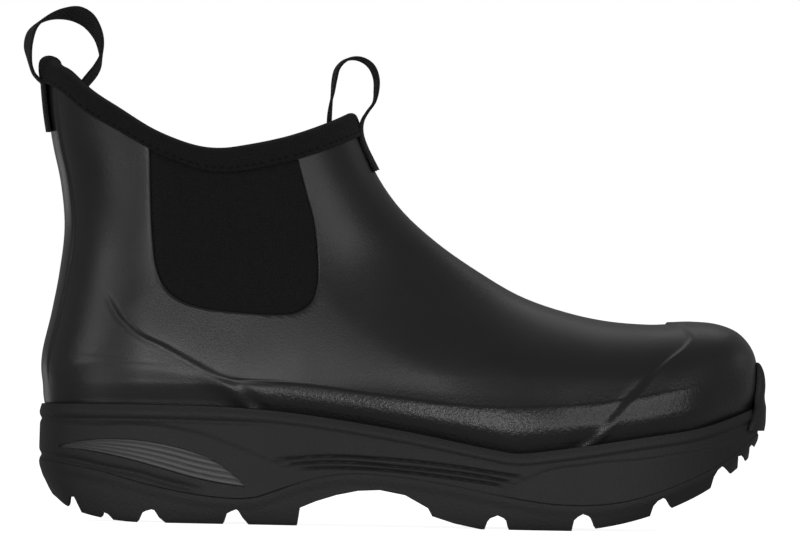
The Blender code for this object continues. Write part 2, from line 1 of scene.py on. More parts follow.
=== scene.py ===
# %% [markdown]
# # A rubber ankle boot, dressed in Blender
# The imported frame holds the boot's pieces as plain solids at their real size. This lesson lays a finely shaped and
# finished piece over each of them, and then sets up the floor, the light and the camera. Tables are in millimetres.
# A station is a distance from the rear of the sole towards the toe, and every mesh ends up in metres.

import math

import bpy
import numpy as np
from mathutils import Matrix, Vector, kdtree


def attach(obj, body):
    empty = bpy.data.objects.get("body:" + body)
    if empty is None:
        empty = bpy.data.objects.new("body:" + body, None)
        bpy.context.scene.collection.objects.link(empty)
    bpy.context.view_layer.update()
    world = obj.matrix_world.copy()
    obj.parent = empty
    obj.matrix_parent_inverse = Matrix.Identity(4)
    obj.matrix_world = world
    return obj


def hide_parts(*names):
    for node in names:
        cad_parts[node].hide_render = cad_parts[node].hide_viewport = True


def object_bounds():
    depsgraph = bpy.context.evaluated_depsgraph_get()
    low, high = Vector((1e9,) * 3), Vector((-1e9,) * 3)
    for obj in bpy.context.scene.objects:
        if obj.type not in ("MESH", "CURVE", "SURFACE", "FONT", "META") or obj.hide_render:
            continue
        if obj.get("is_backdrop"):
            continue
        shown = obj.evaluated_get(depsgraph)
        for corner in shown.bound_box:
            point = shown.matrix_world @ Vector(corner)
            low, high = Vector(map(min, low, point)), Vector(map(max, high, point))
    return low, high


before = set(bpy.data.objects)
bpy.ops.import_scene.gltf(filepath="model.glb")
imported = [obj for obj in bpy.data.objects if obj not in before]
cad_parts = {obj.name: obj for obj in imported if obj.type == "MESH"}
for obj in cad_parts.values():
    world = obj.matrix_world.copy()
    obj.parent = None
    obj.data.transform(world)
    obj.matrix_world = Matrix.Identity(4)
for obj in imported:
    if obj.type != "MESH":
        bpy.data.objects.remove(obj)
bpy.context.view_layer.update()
MM = 0.001
REAR_X = -146.0

# %% [markdown]
# ## Curves through a few points
# A shoemaker draws a last with a handful of measured points and a flexible ruler. These helpers do the same: a table
# of points becomes a smooth curve with evenly spaced points, and a table's column is read between its rows.

# %% Curve helpers
CURVE_POINTS = 240
FINE_STEPS = 8


def smooth_curve(knots, count):
    """Points evenly spaced along a smooth curve through the knots, measured in their first two columns."""
    knots = np.asarray(knots, float)
    chords = np.linalg.norm(np.diff(knots[:, :2], axis=0), axis=1)
    at = np.concatenate([[0.0], np.cumsum(np.sqrt(chords))])
    slopes = np.gradient(knots, at, axis=0, edge_order=2)
    fine = np.linspace(0.0, at[-1], FINE_STEPS * count)
    k = np.clip(np.searchsorted(at, fine, "right") - 1, 0, len(knots) - 2)
    span = (at[k + 1] - at[k])[:, None]
    t = (fine - at[k])[:, None] / span
    points = (
        (2 * t**3 - 3 * t**2 + 1) * knots[k]
        + (t**3 - 2 * t**2 + t) * span * slopes[k]
        + (3 * t**2 - 2 * t**3) * knots[k + 1]
        + (t**3 - t**2) * span * slopes[k + 1]
    )
    lengths = np.linalg.norm(np.diff(points[:, :2], axis=0), axis=1)
    along = np.concatenate([[0.0], np.cumsum(lengths)])
    even = np.linspace(0.0, along[-1], count)
    return np.stack([np.interp(even, along, column) for column in points.T], axis=1)


def side_curve(table, count=CURVE_POINTS):
    """A table of station and height as a smooth curve in x and z."""
    return smooth_curve(table, count) + (REAR_X, 0.0)


def height_of(curve, x):
    return np.interp(x, curve[:, 0], curve[:, 1])


def column_of(table, at, column):
    """One column of a table, read smoothly at values of its first column."""
    rows = np.asarray(table, float)
    curve = smooth_curve(rows[:, (0, column)], CURVE_POINTS)
    return np.interp(at, curve[:, 0], curve[:, 1])


def smooth_step(low, high, value):
    t = np.clip((value - low) / (high - low), 0.0, 1.0)
    return t * t * (3 - 2 * t)


def hump(distance, width):
    """A soft ridge across a line, 1 on it and fading with the distance."""
    return np.exp(-((distance / width) ** 2))


print("curve helpers ready")

# %% [markdown]
# ## The last
# The rubber upper is moulded over a last, so its form is one smooth surface: a side-view outline, half widths along
# the foot and up the shaft, and a rounding behind the outline. The frame's solid is a coarse version of it. A shape
# like this can't be pushed out of a cube with any accuracy, so its points are worked out from the last's own sizes.

# %% The last's tables
BALL_WIDTH = 105.0
FRONT_PROFILE = (
    (297.5, 52.0), (298.6, 62.0), (296.8, 74.8), (290.6, 82.8), (282.0, 86.5), (270.0, 87.6), (252.0, 86.6),
    (234.0, 87.4), (216.0, 91.0), (198.5, 97.0), (182.0, 106.2), (165.0, 117.5), (150.2, 130.2), (141.5, 141.0),
    (135.0, 152.4), (127.8, 169.8),
)
BACK_PROFILE = (
    (1.4, 48.2), (0.0, 58.0), (0.1, 69.0), (3.6, 85.7), (6.6, 102.4), (8.5, 122.0), (6.7, 140.0), (3.0, 156.5),
    (0.7, 170.6), (-0.6, 190.0),
)
FEATHER_LINE = (
    (1.4, 48.2), (50.0, 48.6), (83.0, 48.0), (108.0, 46.0), (150.0, 40.0), (187.5, 33.0), (198.0, 31.4),
    (216.7, 33.4), (250.0, 38.7), (275.0, 43.3), (291.0, 49.0), (297.5, 52.0),
)
COLLAR_LINE = (
    (-0.6, 190.0), (5.0, 187.6), (16.8, 177.9), (29.7, 170.2), (46.5, 160.8), (63.8, 154.7), (74.0, 153.8),
    (85.5, 155.5), (102.3, 159.5), (118.0, 165.2), (127.8, 169.8),
)
# Station, outer half width, inner half width and centre line, as shares of the ball width
FOOT_WIDTHS = (
    (0.0, 0.350, 0.350, 0.020), (40.0, 0.360, 0.360, 0.020), (85.0, 0.380, 0.345, 0.012),
    (125.0, 0.408, 0.340, -0.004), (165.0, 0.470, 0.410, 0.000), (195.0, 0.508, 0.478, 0.005),
    (220.0, 0.506, 0.506, 0.010), (260.0, 0.480, 0.460, 0.050), (302.0, 0.440, 0.390, 0.085),
)
OUTER, INNER, CENTRE = 1, 2, 3
# Height and half width of the shaft
SHAFT_WIDTHS = ((20.0, 0.352), (85.0, 0.345), (110.0, 0.338), (130.0, 0.342), (155.0, 0.362), (195.0, 0.375))
SHAFT_BLEND = (62.0, 118.0)
# Share of the way up a profile, depth of the rounding behind it, and power of its curve
FRONT_ROUNDING = (
    (0.00, 62.0, 2.35), (0.12, 58.0, 2.35), (0.28, 44.0, 2.30), (0.45, 48.0, 2.20), (0.70, 54.0, 2.10),
    (1.00, 54.0, 2.05),
)
BACK_ROUNDING = ((0.00, 42.0, 2.20), (0.40, 44.0, 2.10), (1.00, 50.0, 2.05))
DEPTH, POWER = 1, 2
TUCK, TUCK_HEIGHT = 2.4, 10.0
BACK_LEAD, FRONT_LEAD = 60.0, 75.0
FEATHER_FADE, COLLAR_FADE = 1.5, 1.6
DEPTH_POINTS, EXTENSION_POINTS = 900, 225

FRONT = side_curve(FRONT_PROFILE, DEPTH_POINTS)
BACK = side_curve(BACK_PROFILE, DEPTH_POINTS)
FEATHER = side_curve(FEATHER_LINE)
COLLAR = side_curve(COLLAR_LINE)
print("last:", round(FRONT[:, 0].max() - BACK[:, 0].min(), 1), "mm long,", round(COLLAR[:, 1].max(), 1), "mm high")

# %% The side view of the last
POINTS_AT_ONCE = 2000


def forward_normals(curve):
    """Unit normals of a rising side-view curve, on the side of the toe."""
    tangent = np.gradient(curve, axis=0)
    normal = np.stack([tangent[:, 1], -tangent[:, 0]], axis=1)
    return normal / np.linalg.norm(normal, axis=1, keepdims=True)


def read_curve(curve, share):
    at = np.linspace(0.0, 1.0, len(curve))
    return np.stack([np.interp(share, at, column) for column in curve.T], axis=-1)


def crossing_rows(along, up):
    """Rows of side-view points that leave the back profile and meet the front one squarely."""
    u = np.asarray(along)[None, :, None]
    ends = [read_curve(curve, up)[:, None] for curve in (BACK, FRONT)]
    leads = [read_curve(forward_normals(curve), up)[:, None] for curve in (BACK, FRONT)]
    return (
        (2 * u**3 - 3 * u**2 + 1) * ends[0]
        + (u**3 - 2 * u**2 + u) * BACK_LEAD * leads[0]
        + (3 * u**2 - 2 * u**3) * ends[1]
        + (u**3 - u**2) * FRONT_LEAD * leads[1]
    )


def side_view(along, up):
    """Side-view points of the upper: rows from the sole to the collar, columns from the back to the front."""
    rows = crossing_rows(along, up)
    lowest, highest = crossing_rows(along, np.array([0.0, 1.0]))
    to_feather = height_of(FEATHER, lowest[:, 0]) - lowest[:, 1]
    to_collar = height_of(COLLAR, highest[:, 0]) - highest[:, 1]
    up = np.asarray(up)[:, None]
    rows[..., 1] += to_feather * (1 - up) ** FEATHER_FADE + to_collar * up**COLLAR_FADE
    return rows


def rounding(curve, table, x, z):
    """Share of the full width left behind a side-view outline, from 0 on it to 1 deep inside."""
    before, after = curve[0] - curve[1], curve[-1] - curve[-2]
    reach = np.arange(1, EXTENSION_POINTS)[:, None]
    line = np.concatenate([(curve[0] + reach * before)[::-1], curve, curve[-1] + reach * after])
    share = np.clip((np.arange(len(line)) - len(reach)) / (len(curve) - 1), 0.0, 1.0)
    depths, powers = column_of(table, share, DEPTH), column_of(table, share, POWER)
    step = np.linalg.norm(before)
    normals = forward_normals(line)
    left = np.empty(x.size)
    places = np.column_stack([x.ravel(), z.ravel()])
    for start in range(0, len(places), POINTS_AT_ONCE):
        here = places[start : start + POINTS_AT_ONCE]
        away = (here[:, :1] - line[:, 0]) ** 2 + (here[:, 1:] - line[:, 1]) ** 2
        nearest = away.argmin(1)
        close = np.abs(((here - line[nearest]) * normals[nearest]).sum(1))
        weight = np.maximum(away, step**2 / 100) ** -2.0
        total = weight.sum(1)
        far = (math.pi / 2 / (total * step)) ** (1 / 3)
        inside = close + (far - close) * smooth_step(3 * step, 9 * step, close)
        depth, power = weight @ depths / total, weight @ powers / total
        rounded = (1 - (1 - np.minimum(inside / depth, 1.0)) ** power) ** (1 / power)
        left[start : start + POINTS_AT_ONCE] = rounded
    return left.reshape(x.shape)


def centre_line(x):
    return column_of(FOOT_WIDTHS, x - REAR_X, CENTRE) * BALL_WIDTH


def side_faces(x, z):
    """Where the upper's outer and inner face lie, as y, for side-view points."""
    rounded = rounding(FRONT, FRONT_ROUNDING, x, z) * rounding(BACK, BACK_ROUNDING, x, z)
    shaft = column_of(SHAFT_WIDTHS, z, 1)
    tuck = TUCK * (1 - smooth_step(0.0, TUCK_HEIGHT, z - height_of(FEATHER, x)))
    faces = []
    for side, sign in ((OUTER, -1), (INNER, 1)):
        foot = column_of(FOOT_WIDTHS, x - REAR_X, side)
        full = (foot + (shaft - foot) * smooth_step(*SHAFT_BLEND, z)) * BALL_WIDTH
        faces.append(centre_line(x) + sign * (full - tuck) * rounded)
    return faces


def upper_rings(up, half_columns):
    """Rings of the upper's outer face, counterclockwise from above, from the back round the outer side."""
    turn = np.linspace(0.0, math.pi, half_columns + 1)
    flat = side_view((1 - np.cos(turn)) / 2, up)
    x, z = flat[..., 0], flat[..., 1]
    faces = side_faces(x, z)
    for face in faces:
        face[:, (0, -1)] = centre_line(x[:, (0, -1)])
    outer, inner = [np.stack([x, face, z], axis=-1) for face in faces]
    return np.concatenate([outer, inner[:, -2:0:-1]], axis=1)


def ring_normals(rings):
    """Outward unit normals of rings of points."""
    around = np.roll(rings, -1, axis=1) - np.roll(rings, 1, axis=1)
    upward = np.gradient(rings, axis=0)
    normal = np.cross(around, upward)
    return normal / np.linalg.norm(normal, axis=-1, keepdims=True)


print("the last's surface can be read anywhere")

# %% [markdown]
# ## A sheet of points
# Most pieces of this boot are a skin drawn over rows of points. A grid primitive has exactly that order, so it is
# added, its points are moved to their places, and where its edges meet they are merged into a closed skin.

# %% Wrap a grid over rows of points
MERGE_DISTANCE = 1e-6


def wrap(name, rows, finishes, around=True, uv=None, slots=None):
    """A grid laid over rows of points. Around closes each row, uv gives a place in metres on the cloth."""
    rows = np.asarray(rows, float)
    if around:
        rows = np.concatenate([rows, rows[:, :1]], axis=1)
    count, across = rows.shape[:2]
    bpy.ops.object.select_all(action="DESELECT")
    bpy.ops.mesh.primitive_grid_add(x_subdivisions=across - 1, y_subdivisions=count - 1)
    piece = bpy.context.object
    piece.name = piece.data.name = name
    mesh = piece.data
    mesh.vertices.foreach_set("co", (rows * MM).ravel())
    for finish in finishes:
        mesh.materials.append(finish)
    if slots is not None:
        mesh.polygons.foreach_set("material_index", np.repeat(slots, across - 1).astype(np.int32))
    if uv is not None:
        corners = np.empty(len(mesh.loops), np.int32)
        mesh.loops.foreach_get("vertex_index", corners)
        mesh.uv_layers.active.data.foreach_set("uv", uv.reshape(-1, 2)[corners].ravel())
    mesh.update()
    bpy.ops.object.mode_set(mode="EDIT")
    bpy.ops.mesh.select_all(action="SELECT")
    bpy.ops.mesh.remove_doubles(threshold=MERGE_DISTANCE)
    bpy.ops.mesh.dissolve_degenerate(threshold=MERGE_DISTANCE)
    bpy.ops.mesh.normals_make_consistent(inside=False)
    bpy.ops.object.mode_set(mode="OBJECT")
    bpy.ops.object.shade_smooth()
    return piece


def with_middles(rings):
    """Rings of a solid, closed at both ends by the line midway between its two sides."""
    ends = [(ring + np.roll(ring[::-1], 1, axis=0)) / 2 for ring in (rings[0], rings[-1])]
    return np.concatenate([ends[:1], rings, ends[1:]])


def with_points(rings):
    """Rings of a solid, closed at both ends by one point."""
    ends = [np.repeat(ring.mean(0, keepdims=True), len(ring), axis=0) for ring in (rings[0], rings[-1])]
    return np.concatenate([ends[:1], rings, ends[1:]])


def make_active(piece):
    bpy.ops.object.select_all(action="DESELECT")
    piece.select_set(True)
    bpy.context.view_layer.objects.active = piece


def apply_boolean(piece, cutter, operation="DIFFERENCE"):
    """Cuts one piece with another, which is used up."""
    make_active(piece)
    bpy.ops.object.modifier_add(type="BOOLEAN")
    boolean = piece.modifiers[-1]
    boolean.object = cutter
    boolean.operation = operation
    boolean.solver = "EXACT"
    bpy.ops.object.modifier_apply(modifier=boolean.name)
    bpy.data.objects.remove(cutter)


def smooth_with_edges(piece, angle):
    make_active(piece)
    bpy.ops.object.shade_smooth_by_angle(angle=math.radians(angle))


def triangles(piece):
    return sum(len(face.vertices) - 2 for face in piece.data.polygons)


print("grids can be wrapped and cut")

# %% [markdown]
# ## Lines drawn on the boot
# Creases and panel edges are drawn in the side view, as a pattern cutter would draw them on a paper of the boot's
# side. For each point of a piece, the distance to such a line then says how far the surface is pushed in or out.

# %% Distance to a drawn line
LINE_POINTS = 1600
FAR_AWAY = 60.0


def drawn_field(points, table, on_upper):
    """Signed distance of points to a drawn line, positive on its right, and the share of the way along it."""
    flat = side_curve(table, LINE_POINTS)
    x, z = flat.T
    if on_upper:
        lines = [np.column_stack([x, y, z]) for y in side_faces(x, z)]
        places = points.reshape(-1, 3)
    else:
        lines = [np.column_stack([x, np.zeros_like(x), z])]
        places = points.reshape(-1, 3) * (1.0, 0.0, 1.0)
    finder = kdtree.KDTree(len(lines) * LINE_POINTS)
    for number, point in enumerate(np.concatenate(lines).tolist()):
        finder.insert(point, number)
    finder.balance()
    found = np.array([finder.find(place)[1:] for place in places.tolist()])
    number = found[:, 0].astype(int) % LINE_POINTS
    tangent = np.gradient(flat, axis=0)[number]
    offset = places[:, (0, 2)] - flat[number]
    right = np.sign(tangent[:, 1] * offset[:, 0] - tangent[:, 0] * offset[:, 1])
    distance = np.minimum(found[:, 1], FAR_AWAY) * right
    return distance.reshape(points.shape[:-1]), (number / (LINE_POINTS - 1)).reshape(points.shape[:-1])


print("lines can be drawn on the pieces")

# %% [markdown]
# ## Finishes
# The boot is black all over, so its materials differ by gloss and texture: satin moulded rubber, matte sole rubber, a
# grey ribbed insert, stretch knit, woven tape and webbing. Two effects are used by several of them and are made once,
# as node groups: a moulded grain and a weave. Everything is procedural, so the finish has no resolution of its own.

# %% Node helpers
def add_node(tree, kind, **inputs):
    """A shader node with its inputs set, or linked where a socket is given."""
    made = tree.nodes.new(kind)
    for name, value in inputs.items():
        socket = made.inputs[name.replace("_", " ")]
        if isinstance(value, bpy.types.NodeSocket):
            tree.links.new(value, socket)
        else:
            socket.default_value = value
    return made


def calculate(tree, operation, first, second=0.0):
    made = tree.nodes.new("ShaderNodeMath")
    made.operation = operation
    for socket, value in zip(made.inputs, (first, second)):
        if isinstance(value, bpy.types.NodeSocket):
            tree.links.new(value, socket)
        else:
            socket.default_value = value
    return made.outputs[0]


def in_range(tree, value, low, high):
    """A value from 0 to 1 spread between two numbers."""
    made = add_node(tree, "ShaderNodeMapRange", Value=value, To_Min=low, To_Max=high)
    return made.outputs["Result"]


def new_group(name, inputs, outputs):
    """An empty node group with its sockets, its entry and its exit."""
    group = bpy.data.node_groups.new(name, "ShaderNodeTree")
    for label, kind, value in inputs:
        socket = group.interface.new_socket(label, in_out="INPUT", socket_type=kind)
        if value is not None:
            socket.default_value = value
    for label in outputs:
        group.interface.new_socket(label, in_out="OUTPUT", socket_type="NodeSocketFloat")
    return group, group.nodes.new("NodeGroupInput"), group.nodes.new("NodeGroupOutput")


def place_group(tree, group, **inputs):
    made = tree.nodes.new("ShaderNodeGroup")
    made.node_tree = group
    for name, value in inputs.items():
        socket = made.inputs[name.replace("_", " ")]
        if isinstance(value, bpy.types.NodeSocket):
            tree.links.new(value, socket)
        else:
            socket.default_value = value
    return made


def new_finish(name):
    """A material with its tree and its shader."""
    finish = bpy.data.materials.new(name)
    finish.use_nodes = True
    tree = finish.node_tree
    return finish, tree, tree.nodes["Principled BSDF"]


def object_place(tree):
    return tree.nodes.new("ShaderNodeTexCoord").outputs["Object"]


def cloth_place(tree):
    return tree.nodes.new("ShaderNodeTexCoord").outputs["UV"]


def set_bump(tree, shader, height, distance, strength=1.0):
    bump = add_node(tree, "ShaderNodeBump", Height=height, Distance=distance, Strength=strength)
    tree.links.new(bump.outputs["Normal"], shader.inputs["Normal"])


def set_grey(tree, shader, mask, dark, light):
    """A neutral base colour between two greys."""
    ramp = tree.nodes.new("ShaderNodeValToRGB")
    for element, grey in zip(ramp.color_ramp.elements, (dark, light)):
        element.color = (grey, grey, grey * 1.03, 1.0)
    tree.links.new(mask, ramp.inputs["Fac"])
    tree.links.new(ramp.outputs["Color"], shader.inputs["Base Color"])


print("node helpers ready")

# %% Moulded grain, for rubber and foam
def make_grain():
    """Fine pebbles left by the mould, and slow cloudy changes of gloss."""
    group, entry, leave = new_group(
        "moulded_grain",
        (("Place", "NodeSocketVector", None), ("Fineness", "NodeSocketFloat", 1000.0)),
        ("Height", "Cloud"),
    )
    place, fineness = entry.outputs["Place"], entry.outputs["Fineness"]
    pebbles = add_node(group, "ShaderNodeTexNoise", Vector=place, Scale=fineness, Detail=2.0)
    cloud = add_node(group, "ShaderNodeTexNoise", Vector=place, Scale=38.0, Detail=4.0, Roughness=0.6)
    group.links.new(pebbles.outputs["Fac"], leave.inputs["Height"])
    group.links.new(cloud.outputs["Fac"], leave.inputs["Cloud"])
    return group


GRAIN = make_grain()
print("group:", GRAIN.name)

# %% Weave, for tapes and linings
def make_weave():
    """Threads that pass over and under each other, from a flat place on the cloth in metres."""
    group, entry, leave = new_group(
        "plain_weave",
        (("Across", "NodeSocketFloat", 0.0), ("Along", "NodeSocketFloat", 0.0),
         ("Warp", "NodeSocketFloat", 0.001), ("Weft", "NodeSocketFloat", 0.001)),
        ("Height", "Over"),
    )
    turns = []
    for way, pitch in (("Across", "Warp"), ("Along", "Weft")):
        share = calculate(group, "DIVIDE", entry.outputs[way], entry.outputs[pitch])
        turns.append(calculate(group, "SINE", calculate(group, "MULTIPLY", share, math.pi)))
    over = calculate(group, "GREATER_THAN", calculate(group, "MULTIPLY", *turns), 0.0)
    warp, weft = [calculate(group, "ABSOLUTE", turn) for turn in turns]
    on_top = calculate(group, "MULTIPLY", warp, over)
    below = calculate(group, "MULTIPLY", weft, calculate(group, "SUBTRACT", 1.0, over))
    group.links.new(calculate(group, "ADD", on_top, below), leave.inputs["Height"])
    group.links.new(over, leave.inputs["Over"])
    return group


WEAVE = make_weave()
print("group:", WEAVE.name)

# %% Rubber finishes
SMOOTH_SHARE = 0.16
RAND_GLOSS = 0.06
FINE_SHARE = 0.30
# The rand's upper edge as two straight lines, each its height at the boot's middle and its slope
RAND_TOP = ((0.0552, -0.05), (0.038, 0.21))


def rand_zone(tree):
    """1 low on the foot in front of the heel, where the mould is coarser and glossier, and 0 elsewhere."""
    axes = add_node(tree, "ShaderNodeSeparateXYZ", Vector=object_place(tree))
    lines = []
    for height, slope in RAND_TOP:
        lines.append(calculate(tree, "ADD", height, calculate(tree, "MULTIPLY", axes.outputs["X"], slope)))
    over = calculate(tree, "SUBTRACT", axes.outputs["Z"], calculate(tree, "MAXIMUM", *lines))
    low = add_node(tree, "ShaderNodeMapRange", Value=over, From_Min=0.002, From_Max=-0.003)
    ahead = add_node(tree, "ShaderNodeMapRange", Value=axes.outputs["X"], From_Min=-0.075, From_Max=-0.045)
    return calculate(tree, "MULTIPLY", low.outputs["Result"], ahead.outputs["Result"])


def make_rubber(name, dark, light, smooth, rough, fineness, depth, zone=None):
    finish, tree, shader = new_finish(name)
    grain = place_group(tree, GRAIN, Place=object_place(tree), Fineness=fineness)
    set_grey(tree, shader, grain.outputs["Cloud"], dark, light)
    gloss = in_range(tree, grain.outputs["Cloud"], smooth, rough)
    height = grain.outputs["Height"]
    if zone:
        share = zone(tree)
        height = calculate(tree, "MULTIPLY", height, in_range(tree, share, SMOOTH_SHARE, 1.0))
        gloss = calculate(tree, "SUBTRACT", gloss, calculate(tree, "MULTIPLY", share, RAND_GLOSS))
        fine = place_group(tree, GRAIN, Place=object_place(tree), Fineness=fineness * 2.4)
        fine_height = calculate(tree, "MULTIPLY", fine.outputs["Height"], FINE_SHARE)
        height = calculate(tree, "ADD", height, fine_height)
    tree.links.new(gloss, shader.inputs["Roughness"])
    set_bump(tree, shader, height, depth)
    return finish


BOOT_RUBBER = make_rubber("boot_rubber", 0.010, 0.016, 0.30, 0.43, 750.0, 0.00020, rand_zone)
SOLE_RUBBER = make_rubber("sole_rubber", 0.0085, 0.0145, 0.54, 0.70, 900.0, 0.00022)
INSERT_FOAM = make_rubber("insert_foam", 0.080, 0.118, 0.40, 0.55, 1400.0, 0.00008)
print("rubber finishes:", BOOT_RUBBER.name, SOLE_RUBBER.name, INSERT_FOAM.name)

# %% Cloth finishes
def make_cloth(name, dark, light, warp, weft, depth, by_uv):
    """A woven cloth, on the piece's own cloth places or on the side view."""
    finish, tree, shader = new_finish(name)
    place = cloth_place(tree) if by_uv else object_place(tree)
    axes = add_node(tree, "ShaderNodeSeparateXYZ", Vector=place)
    along = axes.outputs["Y" if by_uv else "Z"]
    weave = place_group(tree, WEAVE, Across=axes.outputs["X"], Along=along, Warp=warp, Weft=weft)
    fuzz = add_node(tree, "ShaderNodeTexNoise", Vector=object_place(tree), Scale=420.0, Detail=5.0)
    height = calculate(tree, "ADD", weave.outputs["Height"], fuzz.outputs["Fac"])
    mask = calculate(tree, "MULTIPLY", weave.outputs["Height"], fuzz.outputs["Fac"])
    set_grey(tree, shader, mask, dark, light)
    shader.inputs["Roughness"].default_value = 0.92
    shader.inputs["Specular IOR Level"].default_value = 0.25
    shader.inputs["Sheen Weight"].default_value = 0.05
    set_bump(tree, shader, height, depth)
    return finish


STRETCH_KNIT = make_cloth("stretch_knit", 0.006, 0.014, 0.0009, 0.0007, 0.00025, False)
BINDING_TAPE = make_cloth("binding_tape", 0.006, 0.014, 0.0006, 0.0006, 0.00020, True)
WEBBING = make_cloth("webbing", 0.010, 0.030, 0.0016, 0.0009, 0.00035, True)
FOOTBED = make_cloth("footbed_cloth", 0.020, 0.034, 0.0010, 0.0010, 0.00020, False)
LINING = make_cloth("lining_cloth", 0.012, 0.022, 0.0009, 0.0009, 0.00018, False)
# The thread is near-black, darker than the tape: partly the thread's own black, partly painted shade for the stitch
# holes
THREAD_WITH_PAINTED_SHADE = make_cloth("stitch_thread_with_painted_shade", 0.0015, 0.003, 0.0004, 0.0004, 0.00006, False)
print("cloth finishes made")

# %% [markdown]
# ## The upper
# The upper is one rubber shell, 2.6 mm thick. Its section runs up the outside, over the rim, down the inside and back,
# so one grid wrapped both ways makes the whole wall. The mould leaves a proud toe cap, a soft crease above the rand
# with a bulge below it, a groove round the heel counter and a strip up the back: each is a few tenths of a
# millimetre pushed in or out along the surface's normal, by the distance to its drawn line.

# %% The upper's plain wall
UPPER_WALL = 2.6
UPPER_HALF_COLUMNS = 270
# The foot carries the creases, so it has more rows than the shaft
FOOT_ROWS, SHAFT_ROWS, INNER_ROWS = 122, 30, 18
FOOT_SHARE = 0.44

foot_shares = np.linspace(0.0, FOOT_SHARE, FOOT_ROWS, endpoint=False)
upper_shares = np.concatenate([foot_shares, np.linspace(FOOT_SHARE, 1.0, SHAFT_ROWS)])
upper_face = upper_rings(upper_shares, UPPER_HALF_COLUMNS)
upper_out = ring_normals(upper_face)
upper_x, upper_y, upper_z = np.moveaxis(upper_face, -1, 0)
above_feather = upper_z - height_of(FEATHER, upper_x)
print("upper's face:", upper_face.shape[:2], "points")

# %% Creases and panels of the upper
TOE_CAP_LINE = (
    (226.2, 35.3), (233.2, 41.7), (240.5, 50.2), (249.5, 59.9), (259.7, 70.6), (267.9, 77.8), (269.9, 81.2),
    (267.4, 84.9), (260.7, 87.0),
)
RAND_LINE = (
    (80.5, 60.0), (107.9, 59.2), (141.3, 55.6), (178.8, 52.0), (216.4, 52.5), (241.3, 55.3), (274.5, 62.8),
    (289.0, 67.0),
)
COUNTER_LINE = (
    (25.8, 98.2), (28.9, 92.0), (33.2, 85.0), (40.8, 78.5), (51.3, 73.7), (66.0, 65.8), (74.0, 61.6),
    (80.5, 60.0),
)
HEEL_RIDGE = (
    (14.0, 66.0), (30.0, 65.6), (45.2, 64.8), (57.8, 62.6), (69.0, 60.4), (77.0, 57.8), (81.4, 54.8), (85.2, 51.4),
    (89.0, 47.2),
)
HEEL_CREASE = ((13.0, 68.5), (25.0, 67.8), (36.0, 67.0), (46.0, 66.4), (58.0, 65.6))
TOE_CAP_REAR = 214.0
RAND_FLARE = 1.7
# Share of the way from the rand's crease down to the sole, and how far the rand swells there
RAND_SWELL = (
    (0.00, 0.0), (0.03, 0.14), (0.06, 0.42), (0.10, 0.62), (0.16, 0.76), (0.25, 0.85), (0.35, 0.89),
    (0.45, 0.88), (0.55, 0.82), (0.65, 0.73), (0.75, 0.62), (0.85, 0.51), (0.95, 0.43), (1.00, 0.4),
)


def toe_cap_relief():
    """The vamp drops behind the cap's edge, which has a soft rim, heaviest at the sole."""
    away, share = drawn_field(upper_face, TOE_CAP_LINE, True)
    station = upper_x - REAR_X
    away = np.where(station < TOE_CAP_REAR, -FAR_AWAY, away)
    drop = (1 - smooth_step(-1.4, 1.0, away)) * hump(np.minimum(away, 0.0), 20.0)
    drop *= smooth_step(TOE_CAP_REAR, TOE_CAP_REAR + 11.0, station)
    rim = 0.15 + 0.65 * (1 - smooth_step(0.14, 0.26, share))
    hollow = 0.40 * smooth_step(0.14, 0.26, share) * (1 - smooth_step(0.40, 0.55, share))
    return rim * hump(away - 0.6, 1.8) - 0.75 * drop - hollow * hump(away + 1.4, 1.8)


def rand_relief():
    """Below its crease the rand bulges out, in front of the ridge at the heel counter."""
    away, share = drawn_field(upper_face, RAND_LINE, True)
    start, end = np.array(HEEL_RIDGE[-3]), np.array(HEEL_RIDGE[-1])
    down = (end - start) / np.linalg.norm(end - start)
    past = (upper_x - REAR_X - start[0]) * -down[1] + (upper_z - start[1]) * down[0]
    ahead = smooth_step(1.5, 7.0, past)
    fade = 1 - smooth_step(0.88, 1.0, share)
    below, above = np.maximum(away, 0.0), np.maximum(-away, 0.0)
    way_down = below / np.maximum(below + above_feather, 1.0)
    flare = np.exp(-above / 7.0) * (1 - 0.65 * smooth_step(0.4, 1.0, way_down))
    flare *= RAND_FLARE * smooth_step(0.06, 0.36, share)
    swell = column_of(RAND_SWELL, way_down, 1)
    swell += 0.5 * hump(above_feather - 4.5, 3.5)
    return (swell * ahead + flare) * fade


def counter_relief():
    """The ankle laps over the heel counter with a step, and a soft ridge below turns down to the sole."""
    away, share = drawn_field(upper_face, COUNTER_LINE + RAND_LINE[1:4], True)
    lap = 0.75 * smooth_step(-1.1, 1.1, -away) * hump(np.minimum(away, 0.0), 15.0)
    trough = 0.12 + 0.38 * (1 - smooth_step(0.08, 0.22, share))
    step = (lap - trough * hump(away - 0.5, 1.5)) * smooth_step(0.0, 0.09, share)
    step *= 1 - smooth_step(0.42, 0.60, share)
    ridge, along = drawn_field(upper_face, HEEL_RIDGE, True)
    sharp = smooth_step(0.62, 0.82, along)
    rise = (0.25 + 0.85 * sharp) * hump(ridge, 4.0 - 1.0 * sharp) * smooth_step(-0.8, 1.2, away)
    crease, part = drawn_field(upper_face, HEEL_CREASE, True)
    faint = -0.14 * hump(crease, 1.3) * (1 - smooth_step(0.6, 1.0, part))
    tuck = -0.55 * hump(above_feather - 8.0, 5.0) * (1 - smooth_step(66.0, 86.0, upper_x - REAR_X))
    return step + rise + faint + tuck


def spine_relief():
    """A strip is left standing up the middle of the back, with a hollow beside it."""
    beside = np.abs(upper_y - centre_line(upper_x))
    behind = 1 - smooth_step(-128.0, -112.0, upper_x)
    hollow = -0.7 * smooth_step(14.2, 16.0, beside) * (1 - smooth_step(18.0, 34.0, beside))
    return hollow * behind * smooth_step(52.0, 76.0, upper_z)


